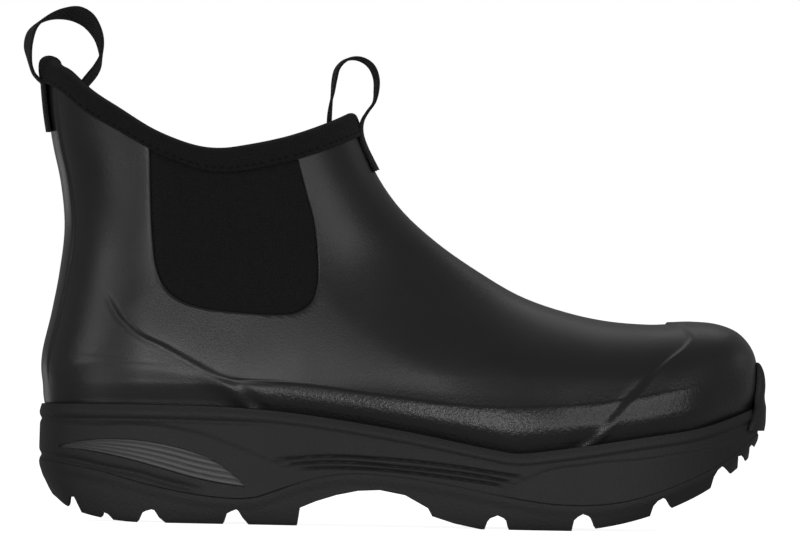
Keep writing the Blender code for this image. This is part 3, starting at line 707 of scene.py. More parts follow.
at_sole = smooth_step(-2.5, 1.0, above_feather)
upper_relief = rand_relief() + (counter_relief() + spine_relief()) * at_sole
upper_relief += toe_cap_relief() * smooth_step(-0.5, 1.5, above_feather)
print("upper's relief from", round(upper_relief.min(), 2), "to", round(upper_relief.max(), 2), "mm")

# %% Wrap the upper
# The wall stays tucked in down to its foot, which goes a little behind the midsole's lip
FOOT_TUCK, FOOT_DEPTH = 0.6, 0.8
upper_relief -= FOOT_TUCK * np.exp(-above_feather / 1.7)
outside = upper_face + upper_out * upper_relief[..., None]
outside[..., 2] -= FOOT_DEPTH * (1 - smooth_step(0.0, 3.0, above_feather))
inner_rows = [np.abs(upper_shares - share).argmin() for share in np.linspace(1.0, 0.0, INNER_ROWS)]
inside = (upper_face - upper_out * UPPER_WALL)[inner_rows]
wall = np.concatenate([outside, inside, outside[:1]])
lining_rows = np.zeros(len(wall) - 1)
lining_rows[len(outside) : -1] = 1
upper = wrap("boot_upper", wall, (BOOT_RUBBER, LINING), slots=lining_rows)
print("upper:", triangles(upper), "triangles")

# %% [markdown]
# ## Side cut-outs
# The stretch gussets sit in two cut-outs of the shell, and the rubber's edge there is rounded over. A cutter that
# follows the shell's surface does both at once: its rings are the cut-out's outline carried in and out along the
# surface's normals, and they flare where they leave the rubber.

# %% Cut the upper open
GUSSET_OUTLINE = (
    (43.9, 182.0), (44.5, 140.0), (45.9, 117.3), (47.6, 106.0), (51.4, 97.9), (57.8, 92.8), (68.0, 89.8), (82.3, 88.4),
    (96.0, 87.8), (105.6, 88.8), (111.6, 92.8), (114.2, 100.5), (114.2, 112.0), (112.4, 126.5), (109.6, 136.5),
    (104.4, 155.0), (96.8, 182.0),
)
GUSSET_POINTS = 150
# Distance out from the rubber's face, and how far the cut-out has widened there
CUT_SECTION = ((-9.0, 0.0), (-1.3, 0.0), (-0.8, 0.1), (-0.4, 0.35), (-0.12, 0.75), (0.1, 1.35), (16.0, 14.0))
SIDE_SIGNS = (("lateral", -1), ("medial", 1))


def widened(outline, distance):
    """An open side-view outline, run down first, moved away from its middle."""
    tangent = np.gradient(outline, axis=0)
    right = np.stack([tangent[:, 1], -tangent[:, 0]], axis=1)
    return outline + right / np.linalg.norm(right, axis=1, keepdims=True) * distance


def on_side(flat, sign, out):
    """Side-view points carried onto one side of the upper, at a distance out from its face."""
    x, z = flat[..., 0], flat[..., 1]
    side = 0 if sign < 0 else 1
    reach = 0.5
    slope_x = (side_faces(x + reach, z)[side] - side_faces(x - reach, z)[side]) / (2 * reach)
    slope_z = (side_faces(x, z + reach)[side] - side_faces(x, z - reach)[side]) / (2 * reach)
    normal = sign * np.stack([-slope_x, np.ones_like(x), -slope_z], axis=-1)
    normal /= np.linalg.norm(normal, axis=-1, keepdims=True)
    return np.stack([x, side_faces(x, z)[side], z], axis=-1) + normal * np.asarray(out)[..., None]


gusset_line = side_curve(GUSSET_OUTLINE, GUSSET_POINTS)
for side_name, sign in SIDE_SIGNS:
    rings = []
    for out, wider in CUT_SECTION:
        rings.append(on_side(widened(gusset_line, wider), sign, np.full(GUSSET_POINTS, out)))
    apply_boolean(upper, wrap("cut_out", with_points(np.array(rings)), (BOOT_RUBBER,)))
smooth_with_edges(upper, 38)
print("upper with cut-outs:", triangles(upper), "triangles")

# %% [markdown]
# ## Gussets
# Each gusset is a panel of black stretch knit, a little sunk behind the rubber. A flat plane would cut through the
# curved ankle, so a grid is spread between the two edges of the cut-out and laid on the last, then thickened.

# %% Make the gussets
GUSSET_SINK = 0.6
GUSSET_THICKNESS = 1.4
GUSSET_GRID = 64
# The knit runs a little under the rubber, and dips at its edge
GUSSET_EDGE = 0.12
GUSSET_DIP = 0.6

gussets = []
panel_line = widened(gusset_line, GUSSET_EDGE)
below_collar = panel_line[:, 1] < height_of(COLLAR, panel_line[:, 0]) - 1.0
panel_line = smooth_curve(panel_line[below_collar], 2 * GUSSET_GRID + 1)
down_back, up_front = panel_line[: GUSSET_GRID + 1], panel_line[: GUSSET_GRID - 1 : -1]
share = np.linspace(0.0, 1.0, GUSSET_GRID + 1)
rungs = down_back[:, None] + (up_front - down_back)[:, None] * share[:, None]
to_collar = np.minimum(height_of(COLLAR, rungs[0, :, 0]) - 1.0 - rungs[0, :, 1], 0.0)
rungs[..., 1] += to_collar * (1 - share[:, None]) ** 2
swell = np.sin(np.pi * share) * np.sin(np.pi * share)[:, None] * 0.5
from_edge = np.minimum(share, 1 - share)
swell -= GUSSET_DIP * np.maximum(hump(from_edge, 0.016), hump(1 - share, 0.016)[:, None])
for side_name, sign in SIDE_SIGNS:
    laid = on_side(rungs, sign, swell - GUSSET_SINK)
    gusset = wrap("gusset_" + side_name + "_knit", laid if sign > 0 else laid[::-1], (STRETCH_KNIT,), around=False)
    bpy.ops.object.modifier_add(type="SOLIDIFY")
    gusset.modifiers[-1].thickness = GUSSET_THICKNESS * MM
    gusset.modifiers[-1].offset = -1.0
    bpy.ops.object.modifier_apply(modifier=gusset.modifiers[-1].name)
    gussets.append(gusset)
    print(gusset.name, triangles(gusset), "triangles")

# %% [markdown]
# ## Collar binding
# A woven tape is folded over the raw edge of rubber and knit and sewn through. Its section is a narrow arch, drawn
# once as a table and carried round the collar. At the back, where the tape's ends are joined, it is thicker.

# %% Make the binding
BINDING_HALF_COLUMNS = 150
BINDING_SAMPLES = 40
BINDING_LOWEST = 0.82
# Distance out from the rubber's face, and distance down from its edge
BINDING_SECTION = (
    (0.15, 8.0), (0.8, 8.3), (1.55, 8.0), (1.85, 7.2), (1.55, 6.2), (1.9, 5.2), (2.05, 1.0), (1.7, -0.9), (0.6, -2.0),
    (-1.3, -2.45), (-3.2, -2.0), (-4.3, -0.9), (-4.65, 1.0), (-4.5, 5.2), (-4.15, 6.2), (-4.45, 7.2), (-4.15, 8.0),
    (-3.4, 8.3), (-2.75, 8.0), (-2.75, 4.0), (-2.75, 0.2), (-1.3, 0.15), (0.15, 0.2), (0.15, 4.0),
)
BINDING_MIDDLE = -1.3

band = upper_rings(np.linspace(BINDING_LOWEST, 1.0, BINDING_SAMPLES), BINDING_HALF_COLUMNS)[::-1]
band_out = ring_normals(band[::-1])[::-1]
steps = np.linalg.norm(np.diff(band, axis=0), axis=-1)
band_down = np.concatenate([np.zeros((1, band.shape[1])), np.cumsum(steps, axis=0)])


def on_band(column, out, down):
    """A point of the collar, out from the rubber's face and down from its edge."""
    edge = band[0, column]
    if down <= 0:
        upward = (edge - band[4, column]) / np.linalg.norm(edge - band[4, column])
        return edge + band_out[0, column] * out - upward * down
    at = np.array([np.interp(down, band_down[:, column], band[:, column, i]) for i in range(3)])
    normal = np.array([np.interp(down, band_down[:, column], band_out[:, column, i]) for i in range(3)])
    return at + normal / np.linalg.norm(normal) * out


def binding_lobe(column):
    """How much thicker and taller the tape is at the back, with a dip in front of the knob that it makes there."""
    away = np.linalg.norm(band[0, column] - band[0, 0])
    knob = 1 - smooth_step(9.0, 12.0, away)
    return 1 + 0.35 * knob, 1 + 0.45 * knob - 0.55 * hump(away - 17.0, 5.0)


edge_run = np.linalg.norm(np.diff(np.concatenate([band[0], band[0, :1]]), axis=0), axis=1)
edge_along = np.concatenate([[0.0], np.cumsum(edge_run)])
sections = []
for column in range(band.shape[1]):
    thicker, taller = binding_lobe(column)
    section = []
    for out, down in BINDING_SECTION:
        if abs(out - BINDING_MIDDLE) > UPPER_WALL / 2 + 0.2:
            out = BINDING_MIDDLE + (out - BINDING_MIDDLE) * thicker
        section.append(on_band(column, out, down * taller if down < 0 else down))
    sections.append(section)
sections.append(sections[0])
section_run = np.linspace(0.0, 0.03, len(BINDING_SECTION) + 1)
binding_uv = np.stack(np.meshgrid(section_run, edge_along * MM), axis=-1)
binding = wrap("collar_binding_tape", sections, (BINDING_TAPE,), uv=binding_uv)
bpy.ops.object.modifier_add(type="SUBSURF")
binding.modifiers[-1].levels = binding.modifiers[-1].render_levels = 1
bpy.ops.object.modifier_apply(modifier=binding.modifiers[-1].name)
print("binding:", triangles(binding), "triangles, edge", round(edge_along[-1]), "mm long")

# %% [markdown]
# ## Stitches
# The tape is sewn with a row of short stitches near its lower edge. One stitch is a small flattened ball, modelled
# once and copied along the tape at the real pitch, outside and inside, and the copies are joined into one piece.

# %% Sew the binding
STITCH_PITCH = 3.4
STITCH_SIZE = (1.1, 0.4, 0.5)
STITCH_DOWN = 6.2


def sew(name, places):
    """One stitch copied to each place, given as middle, direction along the seam and direction out of the cloth."""
    bpy.ops.object.select_all(action="DESELECT")
    bpy.ops.mesh.primitive_uv_sphere_add(segments=8, ring_count=5, radius=MM)
    stitch = bpy.context.object
    stitch.scale = STITCH_SIZE
    bpy.ops.object.transform_apply(scale=True)
    # The stitches take the near-black thread, which carries painted shade for the stitch holes
    stitch.data.materials.append(THREAD_WITH_PAINTED_SHADE)
    copies = []
    for middle, along, out in places:
        copy = stitch.copy()
        copy.data = stitch.data.copy()
        along = along / np.linalg.norm(along)
        up = np.cross(along, out)
        up /= np.linalg.norm(up)
        turn = Matrix(np.column_stack([along, np.cross(up, along), up]).tolist()).to_4x4()
        copy.matrix_world = Matrix.Translation(Vector(middle * MM)) @ turn
        bpy.context.collection.objects.link(copy)
        copies.append(copy)
    bpy.data.objects.remove(stitch)
    bpy.ops.object.select_all(action="DESELECT")
    for copy in copies:
        copy.select_set(True)
    bpy.context.view_layer.objects.active = copies[0]
    bpy.ops.object.join()
    seam = bpy.context.object
    bpy.ops.object.transform_apply(location=True, rotation=True, scale=True)
    bpy.ops.object.shade_smooth()
    seam.name = seam.data.name = name
    return seam


stitch_places = []
for run in np.arange(STITCH_PITCH / 2, edge_along[-1], STITCH_PITCH):
    column = int(np.searchsorted(edge_along, run)) % band.shape[1]
    along = band[0, (column + 1) % band.shape[1]] - band[0, column - 1]
    for out, facing in ((1.6, 1), (-4.2, -1)):
        normal = band_out[0, column] * facing
        stitch_places.append((on_band(column, out, STITCH_DOWN), along, normal))
binding_seam = sew("collar_binding_seam", stitch_places)
print("binding seam:", len(stitch_places), "stitches,", triangles(binding_seam), "triangles")

# %% [markdown]
# ## Outline of the sole
# The sole follows the upper's lower edge, a few millimetres further out. Its walls are rings of that outline.

# %% Sole outlines
SOLE_HALF_COLUMNS = 330
OUTSOLE_LINE = (
    (0.0, 25.6), (25.0, 21.6), (46.0, 16.2), (63.0, 12.9), (80.0, 11.2), (90.0, 11.8), (99.0, 14.8), (109.0, 18.4),
    (120.0, 21.2), (132.0, 22.4), (150.0, 21.4), (171.0, 18.4), (198.0, 13.5), (217.0, 11.2), (240.0, 12.3),
    (262.0, 18.8), (287.0, 31.5), (296.0, 39.5), (302.0, 44.0),
)
PARTING = side_curve(OUTSOLE_LINE)
feather_ring = upper_rings(np.array([0.0]), SOLE_HALF_COLUMNS)[0]


def plan_normals(ring):
    """Outward unit normals of one closed ring, seen from above."""
    around = np.roll(ring, -1, axis=0) - np.roll(ring, 1, axis=0)
    normal = np.stack([around[:, 1], -around[:, 0]], axis=1)
    return normal / np.linalg.norm(normal, axis=1, keepdims=True)


feather_out = plan_normals(feather_ring)


def sole_outline(at_ends, at_sides):
    """The upper's lower edge moved outwards, by one distance at heel and toe and another at the sides."""
    sideways = feather_out[:, 1:] ** 2
    return feather_ring[:, :2] + feather_out * (at_ends + (at_sides - at_ends) * sideways)


def sole_rings(table, top, bottom, shares):
    """Rings of a sole wall between two side-view curves, from the top down."""
    rings = []
    for share in shares:
        plan = sole_outline(column_of(table, share, 1), column_of(table, share, 2))
        high, low = height_of(top, plan[:, 0]), height_of(bottom, plan[:, 0])
        rings.append(np.column_stack([plan, high + (low - high) * share]))
    return np.array(rings)


print("sole outline:", len(feather_ring), "points")

# %% [markdown]
# ## Midsole
# The midsole is a moulded wall with much drawing on it: a rounded lip under the upper, a raised heel panel round the
# insert, fine grooves along the waist and a raised panel at the forefoot. The wall is a grid of rings, and each
# feature moves its points by the distance to a line, as on the upper.

# %% Midsole wall and relief
# Share down the wall, distance out at heel and toe, distance out at the sides
MIDSOLE_WALL = ((0.00, 0.4, 1.6), (0.07, 1.2, 3.0), (0.30, 1.4, 3.3), (1.00, 1.6, 3.6))
MIDSOLE_ROWS = 64
HEEL_PANEL_LINE = (
    (-4.0, 40.7), (3.2, 40.7), (12.3, 40.4), (24.9, 40.3), (37.3, 40.9), (49.9, 40.3), (58.2, 39.2), (66.6, 37.7),
    (75.0, 35.0), (81.3, 32.6), (87.6, 30.2), (92.6, 28.2), (98.0, 26.2), (104.3, 23.9), (108.6, 21.0),
)
FOREFOOT_PANEL_LINE = (
    (194.5, 17.2), (198.2, 19.4), (202.7, 21.6), (208.5, 24.2), (216.8, 26.4), (225.1, 27.4), (233.4, 28.8),
    (250.1, 30.4), (266.7, 33.2), (275.0, 34.6), (283.3, 36.8), (289.5, 39.9), (294.8, 45.0),
)
WAIST_GROOVES = (
    ((95.1, 27.0), (104.3, 27.8), (116.8, 28.9), (129.3, 29.1), (141.8, 28.5), (150.1, 28.1), (162.6, 27.0),
     (175.2, 25.6), (187.7, 23.8), (196.0, 22.7), (201.1, 21.9)),
    ((100.2, 25.0), (108.5, 25.8), (121.0, 26.7), (133.5, 26.5), (150.2, 25.3), (162.6, 24.3), (175.2, 23.1),
     (187.7, 21.3), (196.9, 19.8)),
    ((105.2, 23.0), (116.8, 24.1), (129.3, 24.3), (141.8, 23.9), (150.2, 23.3), (162.7, 22.0), (175.3, 20.6),
     (187.8, 19.0), (193.2, 18.0)),
)
INSERT_SHADOW_LINE = (
    (0.0, 27.4), (8.5, 26.2), (16.8, 25.1), (25.2, 23.2), (33.5, 21.7), (41.9, 20.2), (50.2, 17.8), (58.6, 15.9),
    (67.0, 14.0), (73.3, 13.3),
)
LIP_REACH, BOND_REACH = 0.25, 0.15

midsole_shares = np.concatenate([[0.0, 0.02, 0.04], np.linspace(0.06, 1.0, MIDSOLE_ROWS - 3)])
midsole_rings = sole_rings(MIDSOLE_WALL, FEATHER + (0.0, LIP_REACH), PARTING - (0.0, BOND_REACH), midsole_shares)
sole_x, sole_z = midsole_rings[..., 0], midsole_rings[..., 2]
under_lip = height_of(FEATHER, sole_x) - sole_z


def lip_relief():
    """A rounded lip with a neck below it, deepest at the heel."""
    heel = 1 - smooth_step(-75.0, -40.0, sole_x)
    neck = 5.9 * heel + 5.0 * (1 - heel)
    depth = 0.55 * heel + 0.35 * (1 - heel)
    return 0.50 * hump(under_lip - 3.0, 2.0) - depth * hump(under_lip - neck, 0.9)


def panel_relief():
    heel, _ = drawn_field(midsole_rings, HEEL_PANEL_LINE, False)
    heel_end = (1 - smooth_step(-44.0, -37.0, sole_x)) * smooth_step(-152.0, -132.0, sole_x)
    forefoot, _ = drawn_field(midsole_rings, FOREFOOT_PANEL_LINE, False)
    forefoot_start = smooth_step(46.0, 50.0, sole_x) * (1 - smooth_step(132.0, 148.0, sole_x))
    raised = 0.80 * smooth_step(-1.2, 1.0, heel) * heel_end
    return raised + 0.70 * smooth_step(-0.8, 0.8, forefoot) * forefoot_start


def groove_relief():
    cut = np.zeros_like(sole_x)
    for line in WAIST_GROOVES:
        away, share = drawn_field(midsole_rings, line, False)
        cut -= 0.8 * hump(away, 0.5) * smooth_step(0.0, 0.08, share) * (1 - smooth_step(0.97, 1.0, share))
    away, share = drawn_field(midsole_rings, INSERT_SHADOW_LINE, False)
    return cut - 1.0 * hump(away, 1.4) * (1 - smooth_step(0.8, 1.0, share))


midsole_relief = lip_relief() + panel_relief() + groove_relief()
midsole_relief *= smooth_step(0.0, 0.05, midsole_shares)[:, None]
midsole_rings[..., :2] += feather_out * midsole_relief[..., None]
midsole = wrap("midsole_wall", with_middles(midsole_rings[::-1]), (SOLE_RUBBER,))
print("midsole:", triangles(midsole), "triangles")

# %% [markdown]
# ## Heel inserts
# On both sides of the heel a grey ribbed insert sits in a pocket of the midsole. The pocket is cut with a lens-shaped
# cutter. The insert is a lens of the same outline whose ribs fan out from its rear tip.

# %% Cut the pockets and make the inserts
# Station, lower edge and upper edge
INSERT_LENS = (
    (8.3, 30.6, 31.4), (16.6, 29.8, 33.4), (25.0, 28.6, 34.4), (37.5, 26.0, 34.6), (50.0, 22.8, 33.2),
    (62.5, 19.4, 30.4), (73.0, 17.2, 26.4), (81.5, 16.0, 20.6), (86.2, 15.4, 16.2),
)
INSERT_SECTIONS = 110
INSERT_ACROSS = 60
INSERT_DEPTH = 2.4
INSERT_RECESS = 0.25
INSERT_RIBS = 4.8
POCKET_REACH = 6.0


def wall_y(x, out, sign):
    """Where the midsole's lowest outline, moved in or out, lies at x on one side."""
    plan = sole_outline(MIDSOLE_WALL[-1][1] + out, MIDSOLE_WALL[-1][2] + out)
    half = plan[: SOLE_HALF_COLUMNS + 1] if sign < 0 else np.roll(plan[::-1], 1, axis=0)[: SOLE_HALF_COLUMNS + 1]
    return np.interp(x, half[:, 0], half[:, 1])


lens = smooth_curve(INSERT_LENS, INSERT_SECTIONS)
lens_x = lens[:, 0] + REAR_X
lens_height = lens[:, 2] - lens[:, 1]
rib_height = np.maximum.accumulate(lens_height)
inserts = []
for side_name, sign in SIDE_SIGNS:
    deep, proud = wall_y(lens_x, -INSERT_DEPTH, sign), wall_y(lens_x, POCKET_REACH, sign)
    corners = ((proud, 1), (proud, 2), (deep, 2), (deep, 1))
    pocket = np.stack([np.column_stack([lens_x, y, lens[:, edge]]) for y, edge in corners], axis=1)
    apply_boolean(midsole, wrap("pocket", with_points(pocket), (SOLE_RUBBER,)))
    across = np.linspace(0.01, 0.99, INSERT_ACROSS)
    z = lens[:, 1:2] + lens_height[:, None] * across
    rib = (z - lens[:, 1:2]) / rib_height[:, None] * INSERT_RIBS
    groove = np.abs(rib - np.round(rib)) * rib_height[:, None] / INSERT_RIBS
    rim = np.minimum(across, 1 - across) * lens_height[:, None]
    face = wall_y(lens_x, -INSERT_RECESS, sign)[:, None] + sign * (-0.55 * hump(groove, 0.33) - 0.25 * hump(rim, 0.4))
    front = np.stack([np.broadcast_to(lens_x[:, None], z.shape), face, z], axis=-1)
    back = front[:, ::-1].copy()
    back[..., 1] = wall_y(lens_x, 0.1 - INSERT_DEPTH, sign)[:, None]
    inserts.append(wrap("heel_insert_" + side_name + "_ribbed", with_points(np.concatenate([front, back], axis=1)),
                        (INSERT_FOAM,)))
    smooth_with_edges(inserts[-1], 50)
smooth_with_edges(midsole, 42)
print("inserts:", [triangles(insert) for insert in inserts], "midsole with pockets:", triangles(midsole))

# %% [markdown]
# ## Outsole
# The outsole is the lugged tread. Its wall is rings as before, and the arch tunnel and the grooves between the lugs
# are cut straight across, as the side view shows them.

# %% Outsole body
OUTSOLE_WALL = ((0.00, 1.6, 3.6), (0.40, 0.9, 3.4), (0.80, -1.6, 2.4), (1.00, -4.0, 0.6))
OUTSOLE_ROWS = 36
TREAD_HEEL = (
    (2.0, 13.0), (7.1, 9.6), (11.0, 6.6), (17.2, 3.9), (27.2, 1.5), (36.0, 0.4), (44.0, 0.0),
)
TREAD_TOE = (
    (222.0, 0.0), (240.0, 2.7), (254.3, 6.7), (266.3, 11.5), (274.5, 15.8), (282.0, 21.0), (291.0, 28.6),
    (295.5, 32.9), (300.0, 41.0),
)
TOE_REACH = 1.8
TREAD = np.concatenate([side_curve(TREAD_HEEL), side_curve(TREAD_TOE)])
outsole_shares = np.concatenate([[0.0, 0.02], np.linspace(0.05, 1.0, OUTSOLE_ROWS)])
outsole_rings = sole_rings(OUTSOLE_WALL, PARTING, TREAD, outsole_shares)
under_parting = height_of(PARTING, outsole_rings[..., 0]) - outsole_rings[..., 2]
outsole_relief = 0.45 * smooth_step(0.0, 0.9, under_parting) * (1 - smooth_step(2.0, 6.0, under_parting)) - 0.25
outsole_relief += TOE_REACH * smooth_step(120.0, 142.0, outsole_rings[..., 0]) * outsole_shares[:, None]
outsole_rings[..., :2] += feather_out * outsole_relief[..., None]
outsole = wrap("outsole_tread", with_middles(outsole_rings[::-1]), (SOLE_RUBBER,))
print("outsole:", triangles(outsole), "triangles")

# %% Cut the arch and the grooves
ARCH_OUTLINE = (
    (107.2, -4.0), (108.8, 7.3), (115.5, 10.2), (124.1, 13.0), (133.0, 14.9), (142.0, 15.4), (152.5, 13.5),
    (162.1, 8.3), (163.9, 5.0), (173.0, 2.2), (184.0, 0.0), (184.5, -4.0),
)
# Grooves between the lugs: two small ones behind the heel, two under it, four at the forefoot, three at the toe
TREAD_GROOVES = (
    ((11.5, 3.0), (12.8, 6.4), (13.2, 10.0), (15.0, 10.0), (18.3, 3.6), (19.0, 1.0)),
    ((26.0, -2.0), (26.5, 1.5), (27.1, 4.1), (29.3, 3.2), (31.5, 1.0), (32.2, -2.0)),
    ((41.0, -3.0), (41.5, 0.0), (43.0, 3.6), (45.0, 4.8), (47.4, 5.5), (48.6, 5.2), (50.6, 2.2), (53.4, 0.0),
     (54.0, -3.0)),
    ((76.7, -3.0), (77.1, 0.0), (78.4, 4.2), (80.4, 5.3), (82.6, 6.2), (83.5, 5.6), (85.1, 3.0), (87.8, 0.0),
     (88.4, -3.0)),
    ((185.2, -3.0), (185.6, 0.0), (186.8, 3.3), (188.0, 4.7), (191.0, 5.9), (193.5, 4.8), (194.8, 3.5), (195.7, 0.0),
     (196.0, -3.0)),
    ((221.4, -3.0), (221.8, 0.5), (222.7, 4.5), (224.2, 5.9), (226.3, 7.1), (228.4, 6.4), (230.1, 5.0), (231.4, 2.0),
     (232.4, -2.0)),
    ((252.9, 3.0), (254.2, 6.8), (255.5, 10.9), (257.3, 13.0), (259.5, 14.3), (261.3, 13.5), (263.0, 10.6),
     (264.0, 8.0), (265.0, 4.0)),
    ((278.2, 15.0), (279.5, 19.4), (280.6, 23.4), (282.2, 26.2), (283.9, 27.7), (285.6, 26.9), (287.4, 25.0),
     (289.0, 22.0)),
    ((290.0, 24.0), (290.6, 27.6), (290.7, 32.0), (292.4, 32.4), (293.6, 31.0), (295.0, 27.0)),
    ((295.0, 29.0), (295.4, 33.4), (295.5, 35.8), (296.3, 36.7), (297.5, 36.0), (299.5, 32.0)),
    ((299.3, 36.0), (299.8, 39.6), (299.9, 42.2), (301.0, 42.8), (303.5, 42.8), (303.5, 37.0)),
)
GROOVE_REACH_Y = 70.0


def prism_across(name, outline):
    """A side-view outline carried across the boot."""
    rings = [np.column_stack([outline[:, 0], np.full(len(outline), y), outline[:, 1]])
             for y in (-GROOVE_REACH_Y, GROOVE_REACH_Y)]
    return wrap(name, with_points(np.array(rings)), (SOLE_RUBBER,))


for outline in (ARCH_OUTLINE, *TREAD_GROOVES):
    apply_boolean(outsole, prism_across("groove", np.array(outline) + (REAR_X, 0.0)))
smooth_with_edges(outsole, 35)
print("outsole with tread:", triangles(outsole), "triangles")

# %% [markdown]
# ## Toe bumper
# A rubber strip runs from the tread up the front of the toe. It is a thin slab bent round the toe, so its rings are
# horizontal: along the outer face and back along the inner one, thinning to its edges.

# %% Make the bumper
# Height, half width and thickness
BUMPER = (
    (42.6, 21.5, 2.4), (46.0, 20.0, 2.9), (50.0, 17.0, 3.0), (54.0, 14.2, 3.0), (58.0, 12.4, 3.0), (63.0, 10.8, 3.0),
    (67.5, 9.0, 2.4), (70.2, 7.4, 1.4), (71.0, 6.6, 0.7),
)
BUMPER_ON_UPPER = (52.0, 58.0)
BUMPER_COLUMNS = 56
BUMPER_ROWS = 44
BUMPER_EDGE_POWER = 10
BUMPER_GAP = 0.3
TOE_STATION = 240.0


def toe_outline(level):
    """The upper's outline round the toe at one height, seen from above, from the outer to the inner side."""
    rising = FRONT[: np.argmax(FRONT[:, 1])]
    nose = np.interp(level, rising[:, 1], rising[:, 0])
    turn = np.linspace(0.0, math.pi / 2, CURVE_POINTS)
    x = TOE_STATION + REAR_X + (nose - TOE_STATION - REAR_X) * np.sin(turn)
    outer, inner = side_faces(x, np.full_like(x, level))
    outer[-1] = inner[-1] = centre_line(x[-1:])[0]
    return np.concatenate([np.column_stack([x, outer]), np.column_stack([x, inner])[-2::-1]])


toe_y = feather_ring[SOLE_HALF_COLUMNS, 1]
sole_front = sole_outline(1.6, 3.6)[SOLE_HALF_COLUMNS // 2 : -SOLE_HALF_COLUMNS // 2]
bumper_rings = []
for level in np.linspace(BUMPER[0][0], BUMPER[-1][0], BUMPER_ROWS):
    half, thickness = column_of(BUMPER, level, 1), column_of(BUMPER, level, 2)
    y = toe_y + half * np.sin(np.linspace(-math.pi / 2, math.pi / 2, BUMPER_COLUMNS))
    on_toe = toe_outline(max(level, BUMPER_ON_UPPER[0]))
    low, high = [np.interp(y, line[:, 1], line[:, 0]) for line in (sole_front, on_toe)]
    x = low + (high - low) * smooth_step(*BUMPER_ON_UPPER, level)
    along = np.gradient(np.column_stack([x, y]), axis=0)
    out = np.stack([along[:, 1], -along[:, 0]], axis=1)
    out /= np.linalg.norm(out, axis=1, keepdims=True)
    thin = (1 - np.abs((y - toe_y) / half) ** BUMPER_EDGE_POWER) ** 0.5 * 0.9 + 0.1
    seat = np.column_stack([x, y]) + out * BUMPER_GAP
    plan = np.concatenate([seat + out * (thickness * thin)[:, None], seat[::-1]])
    bumper_rings.append(np.column_stack([plan, np.full(len(plan), level)]))
bumper = wrap("toe_bumper_strip", with_points(np.array(bumper_rings)), (SOLE_RUBBER,))
smooth_with_edges(bumper, 50)
print("bumper:", triangles(bumper), "triangles")

# %% [markdown]
# ## Footbed
# A loose insole lies inside, seen only through the collar: a slab of the sole's outline, slightly cupped at its rim.

# %% Make the footbed
FOOTBED_INSET = 4.4
FOOTBED_THICKNESS = 4.0
# Share of the way in from the rim, and height above the feather line
FOOTBED_TOP = ((0.00, 3.0), (0.02, 3.8), (0.06, 4.0), (0.20, 3.3), (0.50, 2.6), (0.90, 2.4))

rim_plan = sole_outline(-FOOTBED_INSET, -FOOTBED_INSET)
rim_heights = height_of(FEATHER, rim_plan[:, 0])
middle_plan = (rim_plan + np.roll(rim_plan[::-1], 1, axis=0)) / 2
footbed_rings = [np.column_stack([rim_plan, rim_heights + LIP_REACH])]
for share_in, rise in FOOTBED_TOP:
    plan = rim_plan + (middle_plan - rim_plan) * share_in
    footbed_rings.append(np.column_stack([plan, height_of(FEATHER, plan[:, 0]) + rise]))
footbed = wrap("footbed", with_middles(np.array(footbed_rings)), (FOOTBED,))
print("footbed:", triangles(footbed), "triangles")

# %% [markdown]
# ## Pull loops
# Two webbing loops are sewn to the collar, one at the back and one at the front. A tape is a flat, slightly rounded
# section carried along a path. The path's points come from the side view, with the lean of the tape at each.

# %% Make the loops
LOOP_WIDTH = 16.0
LOOP_THICKNESS = 1.2
LOOP_SECTIONS = 150
LOOP_AROUND = 36
LOOP_EDGE_POWER = 9.0
# Station, height, how far the near edge is shifted forwards and up, and bow
BACK_LOOP = (
    (0.6, 161.5, 0.0, 0.0, 1.3), (-0.6, 168.5, 0.0, 0.0, 1.3), (-1.4, 174.8, 0.0, 0.0, 1.3),
    (-1.9, 179.6, 0.0, 0.0, 1.3), (-2.2, 181.8, 0.0, 0.0, 1.3), (-3.9, 183.4, 0.0, 0.0, 1.0),
    (-5.7, 185.6, 0.1, 0.0, 0.7),
    (-6.9, 188.6, 0.3, 0.2, 0.4), (-7.6, 192.4, 0.8, 0.4, 0.2),
    (-7.9, 198.0, 1.7, 1.0, 0.0), (-6.2, 204.2, 2.1, 1.3, 0.0), (-1.2, 208.6, 2.3, 1.6, 0.0),
    (4.5, 210.8, 2.3, 2.0, 0.0), (11.2, 211.0, 2.0, 2.6, 0.0), (16.8, 208.3, 1.7, 2.6, 0.0),
    (20.7, 203.1, 1.1, 2.6, 0.0), (22.4, 197.6, 0.8, 2.5, 0.0), (22.4, 192.6, 0.2, 2.0, 0.0),
    (20.8, 188.8, -0.8, 1.0, 0.1), (18.5, 185.6, -1.4, 0.7, 0.3), (15.6, 182.2, -1.4, 0.6, 0.6),
    (11.2, 176.0, -0.5, 0.2, 1.4), (8.2, 168.0, 0.0, 0.0, 2.0), (7.0, 160.0, 0.0, 0.0, 2.2),
)
